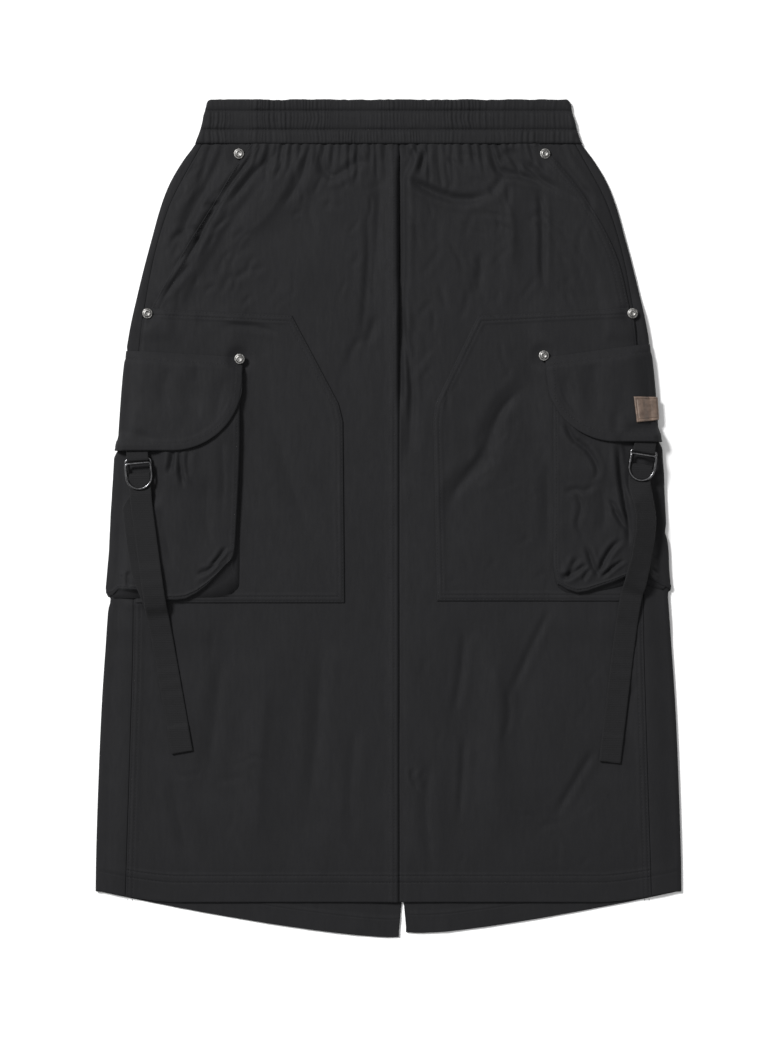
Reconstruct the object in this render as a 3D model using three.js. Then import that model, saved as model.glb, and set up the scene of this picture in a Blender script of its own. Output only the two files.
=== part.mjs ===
// A cargo utility skirt, laid flat: the back panels lie on the surface and the front panels lie on them.
// Millimetres, +Z up, +Y towards the waist. The origin is under the middle of the skirt.
// "down" is the distance below the waist edge; "left" and "right" are seen from above.
import * as THREE from 'three';

// Driving dimensions
const LENGTH = 755;
const CLOTH = 1.2;
const SEAM_GAP = 0.3;
const LAYER = CLOTH + SEAM_GAP;
const AIR = 2.2;
const FOLD_REACH = 5;

const BAND_HEIGHT = 40;
const BAND_WALL = 2.2;
const BAND_AIR = 1;
const BAND_RIBS = 76;
const RIB_RISE = 0.5;
const BAND_ROWS = [
  { down: 0, pinch: 0.2 },
  { down: 10.5, pinch: 0.35 },
  { down: 19, pinch: 0 },
  { down: 27.5, pinch: 0.35 },
  { down: BAND_HEIGHT, pinch: 0.2 },
];

const CENTRE_SEAM_X = 9.5;
const VENT_X = 12.6;
const PANEL_TOP = BAND_HEIGHT + SEAM_GAP;
const FRONT_HEM = 723.5;
const FRONT_HEM_RISE = 11;
const BACK_HEM = 755.47;
const BACK_HEM_RISE = 42;
const VENT_SPREAD = 3;
const VENT_STEP = 4.5;

const GATHER_WAVE = 13;
const GATHER_RISE = 1;
const GATHER_LENGTH = 24;

const MOUTH_UNDERLAP = 15;
const POCKET_TOP = 245;
const POCKET_WRAP = 66;
const POCKET_PUFF = 2.2;
const FLAP_WRAP = 68;
const FLAP_CORNER = 62;
const FLAP_CLEARANCE = 0.6;
const FLAP_SETTLE = 12;
const TAB_ROOM = 5.9;
const LIFT_MARGIN = 22;
const LIFT_RAMP = 24;

const WEBBING_WIDTH = 19.5;
const WEBBING = 1.2;
const STRAP_HEM = 25;
const WIRE_RADIUS = 1;
const RING_HALF_WIDTH = 11.25;
const RING_LENGTH = 23;
const RING_OFFSET = 3.8;
const STRAP_FOLD = 13;

const RIVET_RADIUS = 4.75;
const RIVET_HEIGHT = 1.9;
const LEATHER = 1.8;

// Outline of the skirt's body: half its width at each distance down
const OUTLINE = [
  { down: 0, half: 163.5 },
  { down: 18, half: 167.5 },
  { down: 41, half: 175 },
  { down: 55, half: 185 },
  { down: 73, half: 195.8 },
  { down: 91, half: 203.4 },
  { down: 127, half: 213.8 },
  { down: 163, half: 223.2 },
  { down: 199, half: 231.3 },
  { down: 235, half: 237.2 },
  { down: 307, half: 243 },
  { down: 397, half: 248 },
  { down: 469, half: 253.3 },
  { down: 541, half: 258.3 },
  { down: 613, half: 261.5 },
  { down: 685, half: 263.7 },
  { down: 756, half: 264.4 },
];

// Side seams, which lie a little way in from the side folds on the front
const SIDE_SEAM = [
  { down: 40, x: 168 },
  { down: 100, x: 199 },
  { down: 217, x: 223.6 },
  { down: 496, x: 230 },
  { down: 756, x: 238 },
];

// Slant pocket mouths: the edge of each front panel above the side seam
const POCKET_MOUTH = [
  { down: 40, left: 123.5, right: 136 },
  { down: 60, left: 137, right: 155 },
  { down: 90, left: 155, right: 178 },
  { down: 140, left: 186, right: 205 },
  { down: 197, left: 218.6, right: 219 },
];
const MOUTH_END = 197;

// Thigh patches: inner edge of each, from its top corner down
const PATCH_EDGE = [
  { down: 195, left: 87, right: 80.5 },
  { down: 274, left: 45, right: 42 },
  { down: 290, left: 41, right: 40 },
  { down: 453, left: 39.5, right: 43.5 },
];

// Largest folds in the cloth: soft troughs (rise below 0) and ridges between two points
const FOLDS = [
  { x1: -114, down1: 50, x2: -160, down2: 108, width: 10, rise: -1.5 },
  { x1: -95, down1: 62, x2: -140, down2: 122, width: 11, rise: 1.3 },
  { x1: -152, down1: 118, x2: -194, down2: 180, width: 13, rise: -1.3 },
  { x1: -51, down1: 50, x2: -75, down2: 108, width: 10, rise: -1.1 },
  { x1: -10, down1: 76, x2: -15, down2: 200, width: 12, rise: -0.9 },
  { x1: -15, down1: 205, x2: -36, down2: 246, width: 10, rise: -0.9 },
  { x1: -70, down1: 150, x2: -100, down2: 190, width: 18, rise: 0.9 },
  { x1: 9, down1: 46, x2: 11, down2: 160, width: 8, rise: -1.6 },
  { x1: 22, down1: 50, x2: 26, down2: 110, width: 9, rise: 1.3 },
  { x1: 30, down1: 82, x2: 66, down2: 92, width: 9, rise: -1.3 },
  { x1: 66, down1: 92, x2: 106, down2: 66, width: 9, rise: -1.3 },
  { x1: 96, down1: 46, x2: 140, down2: 78, width: 9, rise: -1.3 },
  { x1: 80, down1: 118, x2: 76, down2: 182, width: 12, rise: -0.9 },
  { x1: 136, down1: 92, x2: 141, down2: 150, width: 11, rise: -1 },
  { x1: 110, down1: 110, x2: 112, down2: 170, width: 13, rise: 0.9 },
  { x1: 126, down1: 258, x2: 92, down2: 306, width: 13, rise: -1.2 },
  { x1: 90, down1: 308, x2: 54, down2: 386, width: 14, rise: -1.2 },
  { x1: 22, down1: 262, x2: 17, down2: 334, width: 11, rise: -1 },
  { x1: 67, down1: 486, x2: 67, down2: 655, width: 16, rise: -1.3 },
  { x1: 100, down1: 500, x2: 96, down2: 640, width: 18, rise: 1.1 },
  { x1: 125, down1: 500, x2: 108, down2: 574, width: 14, rise: -1 },
  { x1: 186, down1: 600, x2: 152, down2: 646, width: 15, rise: -1.1 },
  { x1: -60, down1: 490, x2: -72, down2: 650, width: 18, rise: -1.1 },
  { x1: -110, down1: 520, x2: -120, down2: 690, width: 20, rise: 1 },
  { x1: -150, down1: 500, x2: -165, down2: 620, width: 16, rise: -0.9 },
];

const SIDES = [
  {
    name: 'left', sign: -1, pocketInner: 133.6, pocketBottom: 450.5, patchBottom: 453.6,
    flapInner: 131, flapTopInner: 233, flapTopOuter: 227, flapBottom: 317,
    tabX: 224.6, tabDown: 324.5, tilt: 5,
    strap: [
      { x: -220, down: 374 },
      { x: -209.3, down: 451 },
      { x: -201.7, down: 496 },
      { x: -185.5, down: 588 },
    ],
    rivets: [
      { name: 'hip', x: 134.5, down: 49.5 },
      { name: 'mouth', x: 216.5, down: 193.5 },
      { name: 'flap', x: 133.6, down: 234.5 },
    ],
  },
  {
    name: 'right', sign: 1, pocketInner: 148, pocketBottom: 448, patchBottom: 452,
    flapInner: 141, flapTopInner: 233, flapTopOuter: 221, flapBottom: 309,
    tabX: 229, tabDown: 317, tilt: -9,
    strap: [
      { x: 230, down: 380 },
      { x: 229, down: 434 },
      { x: 219.5, down: 462 },
      { x: 199, down: 597 },
    ],
    rivets: [
      { name: 'hip', x: 140.9, down: 49.5 },
      { name: 'mouth', x: 219.2, down: 193.5 },
      { name: 'flap', x: 139.5, down: 231.5 },
    ],
  },
];

const FINISH = {
  cloth: { color: 0x2b2b2d, roughness: 0.8, metalness: 0 },
  webbing: { color: 0x1f1f21, roughness: 0.75, metalness: 0 },
  ring: { color: 0x8a8a8e, roughness: 0.3, metalness: 1 },
  rivet: { color: 0x9a9894, roughness: 0.4, metalness: 1 },
  leather: { color: 0x6b4630, roughness: 0.65, metalness: 0 },
};

// Rows of points down the panels. The back takes every row, or every second one
const PANEL_BANDS = [
  { to: 130, rows: 8, columns: 20, backStep: 1 },
  { to: 320, rows: 10, columns: 13, backStep: 1 },
  { to: 520, rows: 8, columns: 13, backStep: 1 },
  { to: FRONT_HEM, rows: 6, columns: 13, backStep: 2 },
];

// Small numeric helpers
const clamp = (value, low, high) => Math.min(Math.max(value, low), high);
const mix = (a, b, t) => a + (b - a) * t;
const radians = (degrees) => (degrees * Math.PI) / 180;

function smooth(t) {
  const s = clamp(t, 0, 1);
  return s * s * (3 - 2 * s);
}

// Reads a column of a table at a distance down, on a smooth curve through its rows
function read(table, column, down) {
  const last = table.length - 1;
  const at = clamp(down, table[0].down, table[last].down);
  let k = 0;
  while (k < last - 1 && table[k + 1].down < at) k += 1;
  const slope = (a, b) => (table[b][column] - table[a][column]) / (table[b].down - table[a].down);
  const here = slope(k, k + 1);
  const before = k > 0 ? (slope(k - 1, k) + here) / 2 : here;
  const after = k < last - 1 ? (here + slope(k + 1, k + 2)) / 2 : here;
  const span = table[k + 1].down - table[k].down;
  const t = (at - table[k].down) / span;
  const start = table[k][column];
  const end = table[k + 1][column];
  return mix(start, end, t * t * (3 - 2 * t))
    + span * (before * t * (1 - t) * (1 - t) - after * t * t * (1 - t));
}

// The same on straight lines between its rows
function readStraight(table, column, down) {
  const k = clamp(table.findLastIndex((row) => row.down <= down), 0, table.length - 2);
  const t = clamp((down - table[k].down) / (table[k + 1].down - table[k].down), 0, 1);
  return mix(table[k][column], table[k + 1][column], t);
}

const panelRows = [{ down: PANEL_TOP, columns: PANEL_BANDS[0].columns, onBack: true }];
for (const band of PANEL_BANDS) {
  const from = panelRows.at(-1).down;
  for (let k = 1; k <= band.rows; k += 1) {
    const down = mix(from, band.to, k / band.rows);
    panelRows.push({ down, columns: band.columns, onBack: k % band.backStep === 0 });
  }
}

const halfWidth = (down) => read(OUTLINE, 'half', down);
const foldStart = (down) => halfWidth(down) - FOLD_REACH;
const seamX = (down) => read(SIDE_SEAM, 'x', down);
const mouthX = (side, down) => read(POCKET_MOUTH, side.name, down);

const patchEdge = (side, down) => readStraight(PATCH_EDGE, side.name, down);

// Outer edge of a front panel: the pocket mouth, then the side seam
const panelEdge = (side, down) => (down < MOUTH_END ? Math.min(mouthX(side, down), seamX(down))
  : seamX(down));

function frontHem(x) {
  return FRONT_HEM - FRONT_HEM_RISE * clamp((Math.abs(x) - 190) / 74, 0, 1) ** 1.5;
}

function backHem(x) {
  const ventStep = x > VENT_X ? VENT_STEP * Math.exp(-(x - VENT_X) / 20) : 0;
  return BACK_HEM - BACK_HEM_RISE * (Math.abs(x) / 264) ** 1.35 - ventStep;
}

// 1 between two values and a margin either side, falling to 0 beyond
function plateau(value, low, high, margin, ramp) {
  return smooth((value - (low - margin - ramp)) / ramp) * smooth((high + margin + ramp - value) / ramp);
}

// How far the body is raised over the pocket and the flap where they are folded under it
function lift(side, x, down) {
  const edge = halfWidth(down) - FLAP_WRAP - LIFT_MARGIN;
  const across = smooth((x - (edge - LIFT_RAMP)) / LIFT_RAMP);
  const pocket = plateau(down, side.flapTopOuter, side.pocketBottom, LIFT_MARGIN, LIFT_RAMP);
  const flap = plateau(down, side.flapTopOuter, side.flapBottom, LIFT_MARGIN, LIFT_RAMP);
  return LAYER * across * (pocket + flap);
}

// Rise of the cloth from its folds, and from the gathers under the waistband
function foldRise(x, down) {
  let rise = 0;
  for (const fold of FOLDS) {
    const dx = fold.x2 - fold.x1;
    const dd = fold.down2 - fold.down1;
    const t = clamp(((x - fold.x1) * dx + (down - fold.down1) * dd) / (dx * dx + dd * dd), 0, 1);
    const away = Math.hypot(x - fold.x1 - t * dx, down - fold.down1 - t * dd) / fold.width;
    rise += fold.rise * Math.exp(-away * away);
  }
  const gather = GATHER_RISE * Math.exp(-(down - PANEL_TOP) / GATHER_LENGTH);
  rise += gather * Math.sin((2 * Math.PI * (x - CENTRE_SEAM_X)) / GATHER_WAVE);
  return clamp(rise, -1.6, 1.6);
}

// Height of the front cloth's top before it is faceted. Folds fade out at the side and the pocket mouth
function smoothTop(side, x, down) {
  const offSide = smooth((foldStart(down) - 6 - x) / 30);
  const offMouth = down < MOUTH_END + 8 ? smooth((mouthX(side, down) - MOUTH_UNDERLAP - 7 - x) / 14) : 1;
  const folds = Math.min(offSide, offMouth) * foldRise(side.sign * x, down);
  return CLOTH + AIR + CLOTH + lift(side, x, down) + folds;
}

// The front panel's facets: rows across it, and columns from the centre seam to its outer edge
const panelStart = (side) => SEAM_GAP / 2 + side.sign * CENTRE_SEAM_X;
const panelEnd = (side, down) => panelEdge(side, down) - SEAM_GAP / 2;
const columnX = (side, down, share) => mix(panelStart(side), panelEnd(side, down), share);

function rowDown(nominal, x) {
  return mix(PANEL_TOP, frontHem(x), (nominal - PANEL_TOP) / (FRONT_HEM - PANEL_TOP));
}

// Height of the front cloth's top on those facets, which everything laid on it follows
function frontTop(side, x, down) {
  if (x >= panelEnd(side, down) || x < panelStart(side)) return smoothTop(side, x, down);
  const nominal = mix(PANEL_TOP, FRONT_HEM, (down - PANEL_TOP) / (frontHem(x) - PANEL_TOP));
  let r = 0;
  while (r < panelRows.length - 2 && panelRows[r + 1].down <= nominal) r += 1;
  const [upper, lower] = [panelRows[r], panelRows[r + 1]];
  const t = clamp((nominal - upper.down) / (lower.down - upper.down), 0, 1);
  const across = (x - panelStart(side)) / (panelEnd(side, down) - panelStart(side));
  const onRow = (row) => {
    const k = Math.min(Math.floor(across * row.columns + 1e-9), row.columns - 1);
    const node = (column) => {
      const nodeX = columnX(side, row.down, column / row.columns);
      return smoothTop(side, nodeX, rowDown(row.down, nodeX));
    };
    return mix(node(k), node(k + 1), across * row.columns - k);
  };
  return mix(onRow(upper), onRow(lower), t);
}

// Step up of the front panel where it overlaps the hip facing
function mouthRise(side, x, down) {
  const across = smooth((x - (mouthX(side, down) - MOUTH_UNDERLAP - 14)) / 10);
  return LAYER * across * smooth((MOUTH_END + 24 - down) / 12);
}

// A point on the body or at a distance outside it. A station is a place across the skirt:
// on the front or back at x, or on the side fold at an angle from its top
function skirtPoint(side, station, down, out) {
  const y = LENGTH / 2 - down;
  if (station.on === 'front') {
    return [side.sign * station.x, y, frontTop(side, station.x, down) + out];
  }
  if (station.on === 'back') {
    return [side.sign * station.x, y, lift(side, station.x, down) - out];
  }
  const start = foldStart(down);
  const top = frontTop(side, start, down);
  const bottom = lift(side, start, down);
  const turn = radians(station.turn);
  const x = start + (FOLD_REACH + out) * Math.sin(turn);
  return [side.sign * x, y, (top + bottom) / 2 + ((top - bottom) / 2 + out) * Math.cos(turn)];
}

// Stations across the front on the panel's own columns, from an inner place to an outer one. A station's
// "at" is its place in the row, by which rows of different length are joined
const LAID_COLUMNS = 13;

function frontStations(side, down, from, to, extra = []) {
  const span = panelEnd(side, down) - panelStart(side);
  const place = (x) => (LAID_COLUMNS * (x - panelStart(side))) / span;
  const stations = [from, ...extra].map((x) => ({ on: 'front', x, at: place(x) }));
  for (let k = 0; k <= LAID_COLUMNS; k += 1) {
    const x = columnX(side, down, k / LAID_COLUMNS);
    if (x > stations.at(-1).x + 3 && x < to - 3) stations.push({ on: 'front', x, at: k });
  }
  stations.push({ on: 'front', x: to, at: Math.max(place(to), stations.at(-1).at + 0.1) });
  return stations;
}

// The same, going on over the side seam, round the fold and to an inner place on the back
const FOLD_TURNS = [30, 60, 90, 120, 150];

function stationsRound(side, down, from, extra, backX) {
  const start = foldStart(down);
  const seam = seamX(down);
  const stations = frontStations(side, down, from, seam, extra);
  let at = LAID_COLUMNS + 1;
  const put = (station) => {
    stations.push({ ...station, at });
    at += 1;
  };
  put({ on: 'front', x: (seam + start) / 2 });
  put({ on: 'front', x: start });
  for (const turn of FOLD_TURNS) put({ on: 'fold', turn });
  put({ on: 'back', x: start });
  put({ on: 'back', x: backX });
  return stations;
}

// The panel's rows between two places down, with its own rows at and near the ends
function rowsBetween(from, to, near = []) {
  const ends = [from, to, ...near];
  const between = panelRows.map((row) => row.down)
    .filter((down) => down > from && down < to && ends.every((end) => Math.abs(down - end) > 3.5));
  return [...ends, ...between].sort((a, b) => a - b);
}

// Heights of what lies on the body, measured out from it
function patchCover(x, down) {
  const seam = seamX(down);
  return 1 - smooth((x - seam) / (foldStart(down) - seam));
}

function pocketIn(side, station, down) {
  if (station.on !== 'front') return SEAM_GAP;
  const start = foldStart(down);
  const across = smooth((station.x - side.pocketInner) / 10) * smooth((start - station.x) / 26);
  const along = smooth((down - POCKET_TOP) / 14) * smooth((side.pocketBottom - down) / 12);
  return SEAM_GAP + LAYER * patchCover(station.x, down) + POCKET_PUFF * across * along;
}

function flapIn(side, station, down) {
  const settled = smooth((down - flapTop(side, station, down)) / FLAP_SETTLE);
  if (station.on === 'back') return SEAM_GAP + LAYER * settled;
  const start = foldStart(down);
  const standOff = smooth((down - (side.flapBottom - 18)) / 14);
  const raised = (height, x) => {
    const needed = ringBase(side) + TAB_ROOM - frontTop(side, Math.min(x, start), down);
    return height + standOff * tabBulge(side, x) * Math.max(0, needed - height);
  };
  if (station.on === 'fold') {
    const x = start + FOLD_REACH * Math.sin(radians(station.turn));
    const flat = SEAM_GAP + LAYER * settled;
    return mix(flat, raised(flat, x), clamp(1.15 - station.turn / 100, 0, 1));
  }
  const over = { on: 'front', x: Math.max(station.x, side.pocketInner + 12) };
  const pocketTop = pocketIn(side, over, clamp(down, POCKET_TOP + 14, side.pocketBottom - 20)) + CLOTH;
  const spare = FLAP_CLEARANCE * smooth((start - station.x) / 20);
  const height = SEAM_GAP + LAYER * patchCover(station.x, down) * (1 - settled)
    + settled * (pocketTop + spare);
  return raised(height, station.x);
}

function tabBulge(side, x) {
  return smooth((29 - Math.abs(x - side.tabX)) / 14);
}

// The pocket's top under the rings
const ringBase = (side) => topNear(side, side.tabX, side.tabDown + 8, 14);

// The flap's outline: a slightly rising top seam and two round lower corners
function flapTop(side, station, down) {
  if (station.on !== 'front') return side.flapTopOuter;
  const t = clamp((station.x - side.flapInner) / (foldStart(down) - side.flapInner), 0, 1);
  return mix(side.flapTopInner, side.flapTopOuter, t);
}

function flapBottom(side, travel, total) {
  const fromEnd = Math.min(travel, total - travel);
  const t = 1 - clamp(fromEnd / FLAP_CORNER, 0, 1);
  return side.flapBottom - FLAP_CORNER * (1 - Math.sqrt(1 - t * t));
}

// Highest surface at a place on the front: body, patch or pocket
function stackTop(side, x, down) {
  const body = frontTop(side, Math.min(x, foldStart(down)), down);
  const onPatch = down > PATCH_EDGE[0].down - 3 && down < side.patchBottom + 3
    && x > patchEdge(side, down) - 3;
  const onPocket = x > side.pocketInner - 3 && down > POCKET_TOP - 3 && down < side.pocketBottom + 3;
  let top = body + (down < MOUTH_END + 24 ? mouthRise(side, x, down) : 0);
  if (onPatch) top += LAYER;
  if (onPocket) {
    const inside = { on: 'front', x: clamp(x, side.pocketInner, foldStart(down)) };
    top = body + pocketIn(side, inside, clamp(down, POCKET_TOP, side.pocketBottom)) + CLOTH;
  }
  return top;
}

// Highest surface within a reach of a place
function topNear(side, x, down, reach, surface = stackTop) {
  let top = -Infinity;
  for (const i of [-1, -0.5, 0, 0.5, 1]) {
    for (const j of [-1, -0.5, 0, 0.5, 1]) {
      top = Math.max(top, surface(side, x + i * reach, down + j * reach));
    }
  }
  return top;
}

// A closed wall from rows of outer points and rows of inner points. Rows may differ in number of points:
// they are joined by the places given for them, or by their order. A looped wall joins its last column
// to its first
function wall(outerRows, innerRows, { looped = false, places = null } = {}) {
  const positions = [];
  const index = [];
  const place = (row, r) => {
    const ids = row.map((point) => ({ id: positions.push(point) - 1 }));
    if (looped) ids.push({ id: ids[0].id });
    ids.forEach((entry, k) => { entry.t = places ? places[r][k] : k / (ids.length - 1); });
    return ids;
  };
  const outer = outerRows.map(place);
  const inner = innerRows.map(place);
  const strip = (a, b, reversed) => {
    let i = 0;
    let j = 0;
    while (i < a.length - 1 || j < b.length - 1) {
      const stepA = j === b.length - 1 || (i < a.length - 1 && a[i + 1].t <= b[j + 1].t + 1e-9);
      const third = stepA ? a[i + 1].id : b[j + 1].id;
      if (reversed) index.push(a[i].id, third, b[j].id);
      else index.push(a[i].id, b[j].id, third);
      if (stepA) i += 1;
      else j += 1;
    }
  };
  const column = (rows, at) => rows.map((row, k) => ({ id: row.at(at).id, t: k / (rows.length - 1) }));
  for (let k = 0; k < outer.length - 1; k += 1) strip(outer[k], outer[k + 1], false);
  for (let k = 0; k < inner.length - 1; k += 1) strip(inner[k], inner[k + 1], true);
  strip(inner[0], outer[0], false);
  strip(outer.at(-1), inner.at(-1), false);
  if (!looped) {
    strip(column(outer, 0), column(inner, 0), false);
    strip(column(inner, -1), column(outer, -1), false);
  }
  return solid(positions, index);
}

// A mesh geometry whose faces point out
function solid(positions, index) {
  let volume = 0;
  const [a, b, c] = [new THREE.Vector3(), new THREE.Vector3(), new THREE.Vector3()];
  for (let k = 0; k < index.length; k += 3) {
    a.fromArray(positions[index[k]]);
    b.fromArray(positions[index[k + 1]]);
    c.fromArray(positions[index[k + 2]]);
    volume += a.dot(b.cross(c));
  }
  const geometry = new THREE.BufferGeometry();
  geometry.setAttribute('position', new THREE.Float32BufferAttribute(positions.flat(), 3));
  geometry.setIndex(volume < 0 ? index.reverse() : index);
  geometry.computeVertexNormals();
  return geometry;
}

const skirt = new THREE.Group();

function add(name, geometry, finish) {
  const mesh = new THREE.Mesh(geometry, new THREE.MeshStandardMaterial(FINISH[finish]));
  mesh.name = name;
  skirt.add(mesh);
  return mesh;
}

// The waistband: a gathered elastic casing, ribbed on its front and plain where it rests
function waistband() {
  const outerRows = [];
  const innerRows = [];
  const top = BAND_WALL * 2 + BAND_AIR;
  for (const row of BAND_ROWS) {
    const reach = FOLD_REACH - 1;
    const start = halfWidth(row.down) - reach;
    const y = LENGTH / 2 - row.down;
    const outer = [];
    const inner = [];
    const put = (x, z, nx, nz, out) => {
      outer.push([x + nx * out, y, z + nz * out]);
      inner.push([x - nx * BAND_WALL, y, z - nz * BAND_WALL]);
    };
    const foldRound = (sign, turns) => {
      for (const turn of turns) {
        const s = Math.sin(radians(turn));
        const c = Math.cos(radians(turn));
        outer.push([sign * (start + (reach - row.pinch) * s), y, (top / 2) * (1 + c)]);
        inner.push([sign * (start + (reach - BAND_WALL) * s), y, top / 2 + (top / 2 - BAND_WALL) * c]);
      }
    };
    const ribSteps = BAND_RIBS * 2;
    for (let k = 0; k <= ribSteps; k += 1) {
      const x = mix(-start, start, k / ribSteps);
      const uneven = 0.7 + 0.3 * Math.sin(k * 1.7 + row.down * 0.13);
      put(x, top, 0, 1, (k % 2 ? -RIB_RISE : RIB_RISE) * uneven - row.pinch);
    }
    foldRound(1, FOLD_TURNS);
    for (let k = 0; k <= 8; k += 1) put(mix(start, -start, k / 8), 0, 0, -1, 0);
    foldRound(-1, [...FOLD_TURNS].reverse());
    outerRows.push(outer);
    innerRows.push(inner);
  }
  return wall(outerRows, [innerRows[0], innerRows.at(-1)], { looped: true });
}

// A wall on the body from rows of stations, each with its distance down, and their inner height
function laidWall(side, rows, heightOf, thickness = CLOTH) {
  const surface = (extra) => rows.map((row) => row.map((station) => (
    skirtPoint(side, station, station.down, heightOf(station) + extra)
  )));
  return wall(surface(thickness), surface(0), { places: rows.map((row) => row.map(({ at }) => at)) });
}

// A front panel, from the centre-front seam to the pocket mouth and the side seam
function frontPanel(side) {
  const rows = panelRows.map((row) => {
    const stations = [];
    for (let k = 0; k <= row.columns; k += 1) {
      const down = rowDown(row.down, columnX(side, row.down, k / row.columns));
      const x = columnX(side, down, k / row.columns);
      stations.push({ on: 'front', x, down, at: k / row.columns });
    }
    return stations;
  });
  return laidWall(side, rows, (at) => mouthRise(side, at.x, at.down) - CLOTH);
}

// A back panel, from the side seam on the front, round the side fold, to the centre-back seam and vent
const BACK_RAMP_END = LIFT_MARGIN + FLAP_WRAP - FOLD_REACH - 2;

function backPanel(side) {
  const rows = panelRows.filter((row) => row.onBack).map((row) => {
    const share = (row.down - PANEL_TOP) / (FRONT_HEM - PANEL_TOP);
    const nominal = mix(PANEL_TOP, BACK_HEM, share);
    const spread = VENT_SPREAD * clamp((nominal - FRONT_HEM + 5) / (BACK_HEM - FRONT_HEM), 0, 1);
    const centre = side.sign * VENT_X + SEAM_GAP / 2 + spread;
    const width = foldStart(nominal);
    const stations = [];
    const put = (station, hem) => {
      const down = mix(PANEL_TOP, hem, share);
      const x = station.place?.(down);
      stations.push({ ...station, x, down, at: stations.length });
    };
    for (let k = 0; k <= 2; k += 1) {
      const place = (down) => mix(seamX(down) + SEAM_GAP / 2, foldStart(down), k / 2);
      put({ on: 'front', place }, frontHem(place(row.down)));
    }
    for (const turn of FOLD_TURNS) put({ on: 'fold', turn }, mix(frontHem(width), backHem(width), turn / 180));
    for (const inwards of [0, BACK_RAMP_END, BACK_RAMP_END + LIFT_RAMP + 4]) {
      put({ on: 'back', place: (down) => foldStart(down) - inwards }, backHem(side.sign * (width - inwards)));
    }
    const middle = (centre + width - BACK_RAMP_END - LIFT_RAMP) / 2;
    for (const x of [middle, centre]) put({ on: 'back', place: () => x }, backHem(side.sign * x));
    return stations;
  });
  return laidWall(side, rows, () => -CLOTH);
}

// The hip facing, which shows behind the pocket mouth and runs under the front panel
function hipFacing(side) {
  const rows = rowsBetween(PANEL_TOP, MOUTH_END - 4).map((down) => {
    const stations = [];
    for (let k = 0; k <= 4; k += 1) {
      const x = mix(mouthX(side, down) - MOUTH_UNDERLAP, seamX(down) - SEAM_GAP / 2, k / 4);
      stations.push({ on: 'front', x, down, at: k });
    }
    return stations;
  });
  return laidWall(side, rows, () => -CLOTH);
}

// The thigh patch, laid on the front panel and caught in the side seam
function thighPatch(side) {
  const rows = rowsBetween(PATCH_EDGE[0].down, side.patchBottom).map((down) => (
    frontStations(side, down, patchEdge(side, down), seamX(down) - 2).map((at) => ({ ...at, down }))
  ));
  return laidWall(side, rows, (at) => mouthRise(side, at.x, at.down) + SEAM_GAP);
}

// The cargo pocket: puffed over the front, folded round the side and flat under the back
function cargoPocket(side) {
  const near = [POCKET_TOP + 6, POCKET_TOP + 14, side.pocketBottom - 12, side.pocketBottom - 6];
  const rows = rowsBetween(POCKET_TOP, side.pocketBottom, near).map((down) => {
    const inner = side.pocketInner;
    const backX = halfWidth(down) - POCKET_WRAP;
    return stationsRound(side, down, inner, [inner + 6], backX).map((at) => ({ ...at, down }));
  });
  return laidWall(side, rows, (at) => pocketIn(side, at, at.down));
}

// The flap: sewn above the pocket, with round corners, standing off where the webbing tab comes out
const FLAP_ROWS = [0, 0.07, 0.14, 0.32, 0.54, 0.78, 0.9, 1];
const FLAP_FRONT_STEPS = 10;
const FLAP_BACK_STEPS = 4;
const FLAP_MIDDLE = 270;

function cargoFlap(side) {
  const start = foldStart(FLAP_MIDDLE);
  const columns = [];
  for (let k = 0; k <= FLAP_FRONT_STEPS; k += 1) {
    columns.push({ on: 'front', x: mix(side.flapInner, start, k / FLAP_FRONT_STEPS) });
  }
  for (const turn of FOLD_TURNS) columns.push({ on: 'fold', turn });
  for (let k = 0; k <= FLAP_BACK_STEPS; k += 1) {
    columns.push({ on: 'back', x: start - ((FLAP_WRAP - FOLD_REACH) * k) / FLAP_BACK_STEPS });
  }
  const frontRun = start - side.flapInner;
  const arc = Math.PI * (FOLD_REACH + 2);
  const backRun = FLAP_WRAP - FOLD_REACH;
  const total = frontRun + arc + backRun;
  const travelOf = (at) => {
    if (at.on === 'front') return at.x - side.flapInner;
    if (at.on === 'fold') return frontRun + (arc * at.turn) / 180;
    return frontRun + arc + (start - at.x);
  };
  const rows = FLAP_ROWS.map((share) => columns.map((column, k) => {
    const down = mix(flapTop(side, column, FLAP_MIDDLE), flapBottom(side, travelOf(column), total), share);
    const shift = foldStart(down) - start;
    const at = { ...column, down, at: k };
    if (at.on === 'front') at.x += shift * ((at.x - side.flapInner) / frontRun);
    if (at.on === 'back') at.x += shift;
    return at;
  }));
  return laidWall(side, rows, (at) => flapIn(side, at, at.down));
}

// The ring assembly has a frame of its own: "along" runs down the strap, "across" to its right.
// Its base is the top of the pocket there
function ringFrame(side) {
  const base = ringBase(side);
  const c = Math.cos(radians(side.tilt));
  const s = Math.sin(radians(side.tilt));
  const x0 = side.sign * side.tabX;
  const y0 = LENGTH / 2 - side.tabDown;
  return {
    base,
    across: [c, s],
    point: (across, along, height) => [x0 + c * across + s * along, y0 + s * across - c * along, base + height],
  };
}

const UNDER_WEBBING = SEAM_GAP + WEBBING / 2;
const LOOP_RADIUS = WIRE_RADIUS + SEAM_GAP + WEBBING / 2;
const WIRE_HEIGHT = UNDER_WEBBING + LOOP_RADIUS;
const OVER_WEBBING = WIRE_HEIGHT + LOOP_RADIUS;
const LOWER_RING_HEIGHT = OVER_WEBBING + WEBBING / 2 + SEAM_GAP + WIRE_RADIUS;

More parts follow.
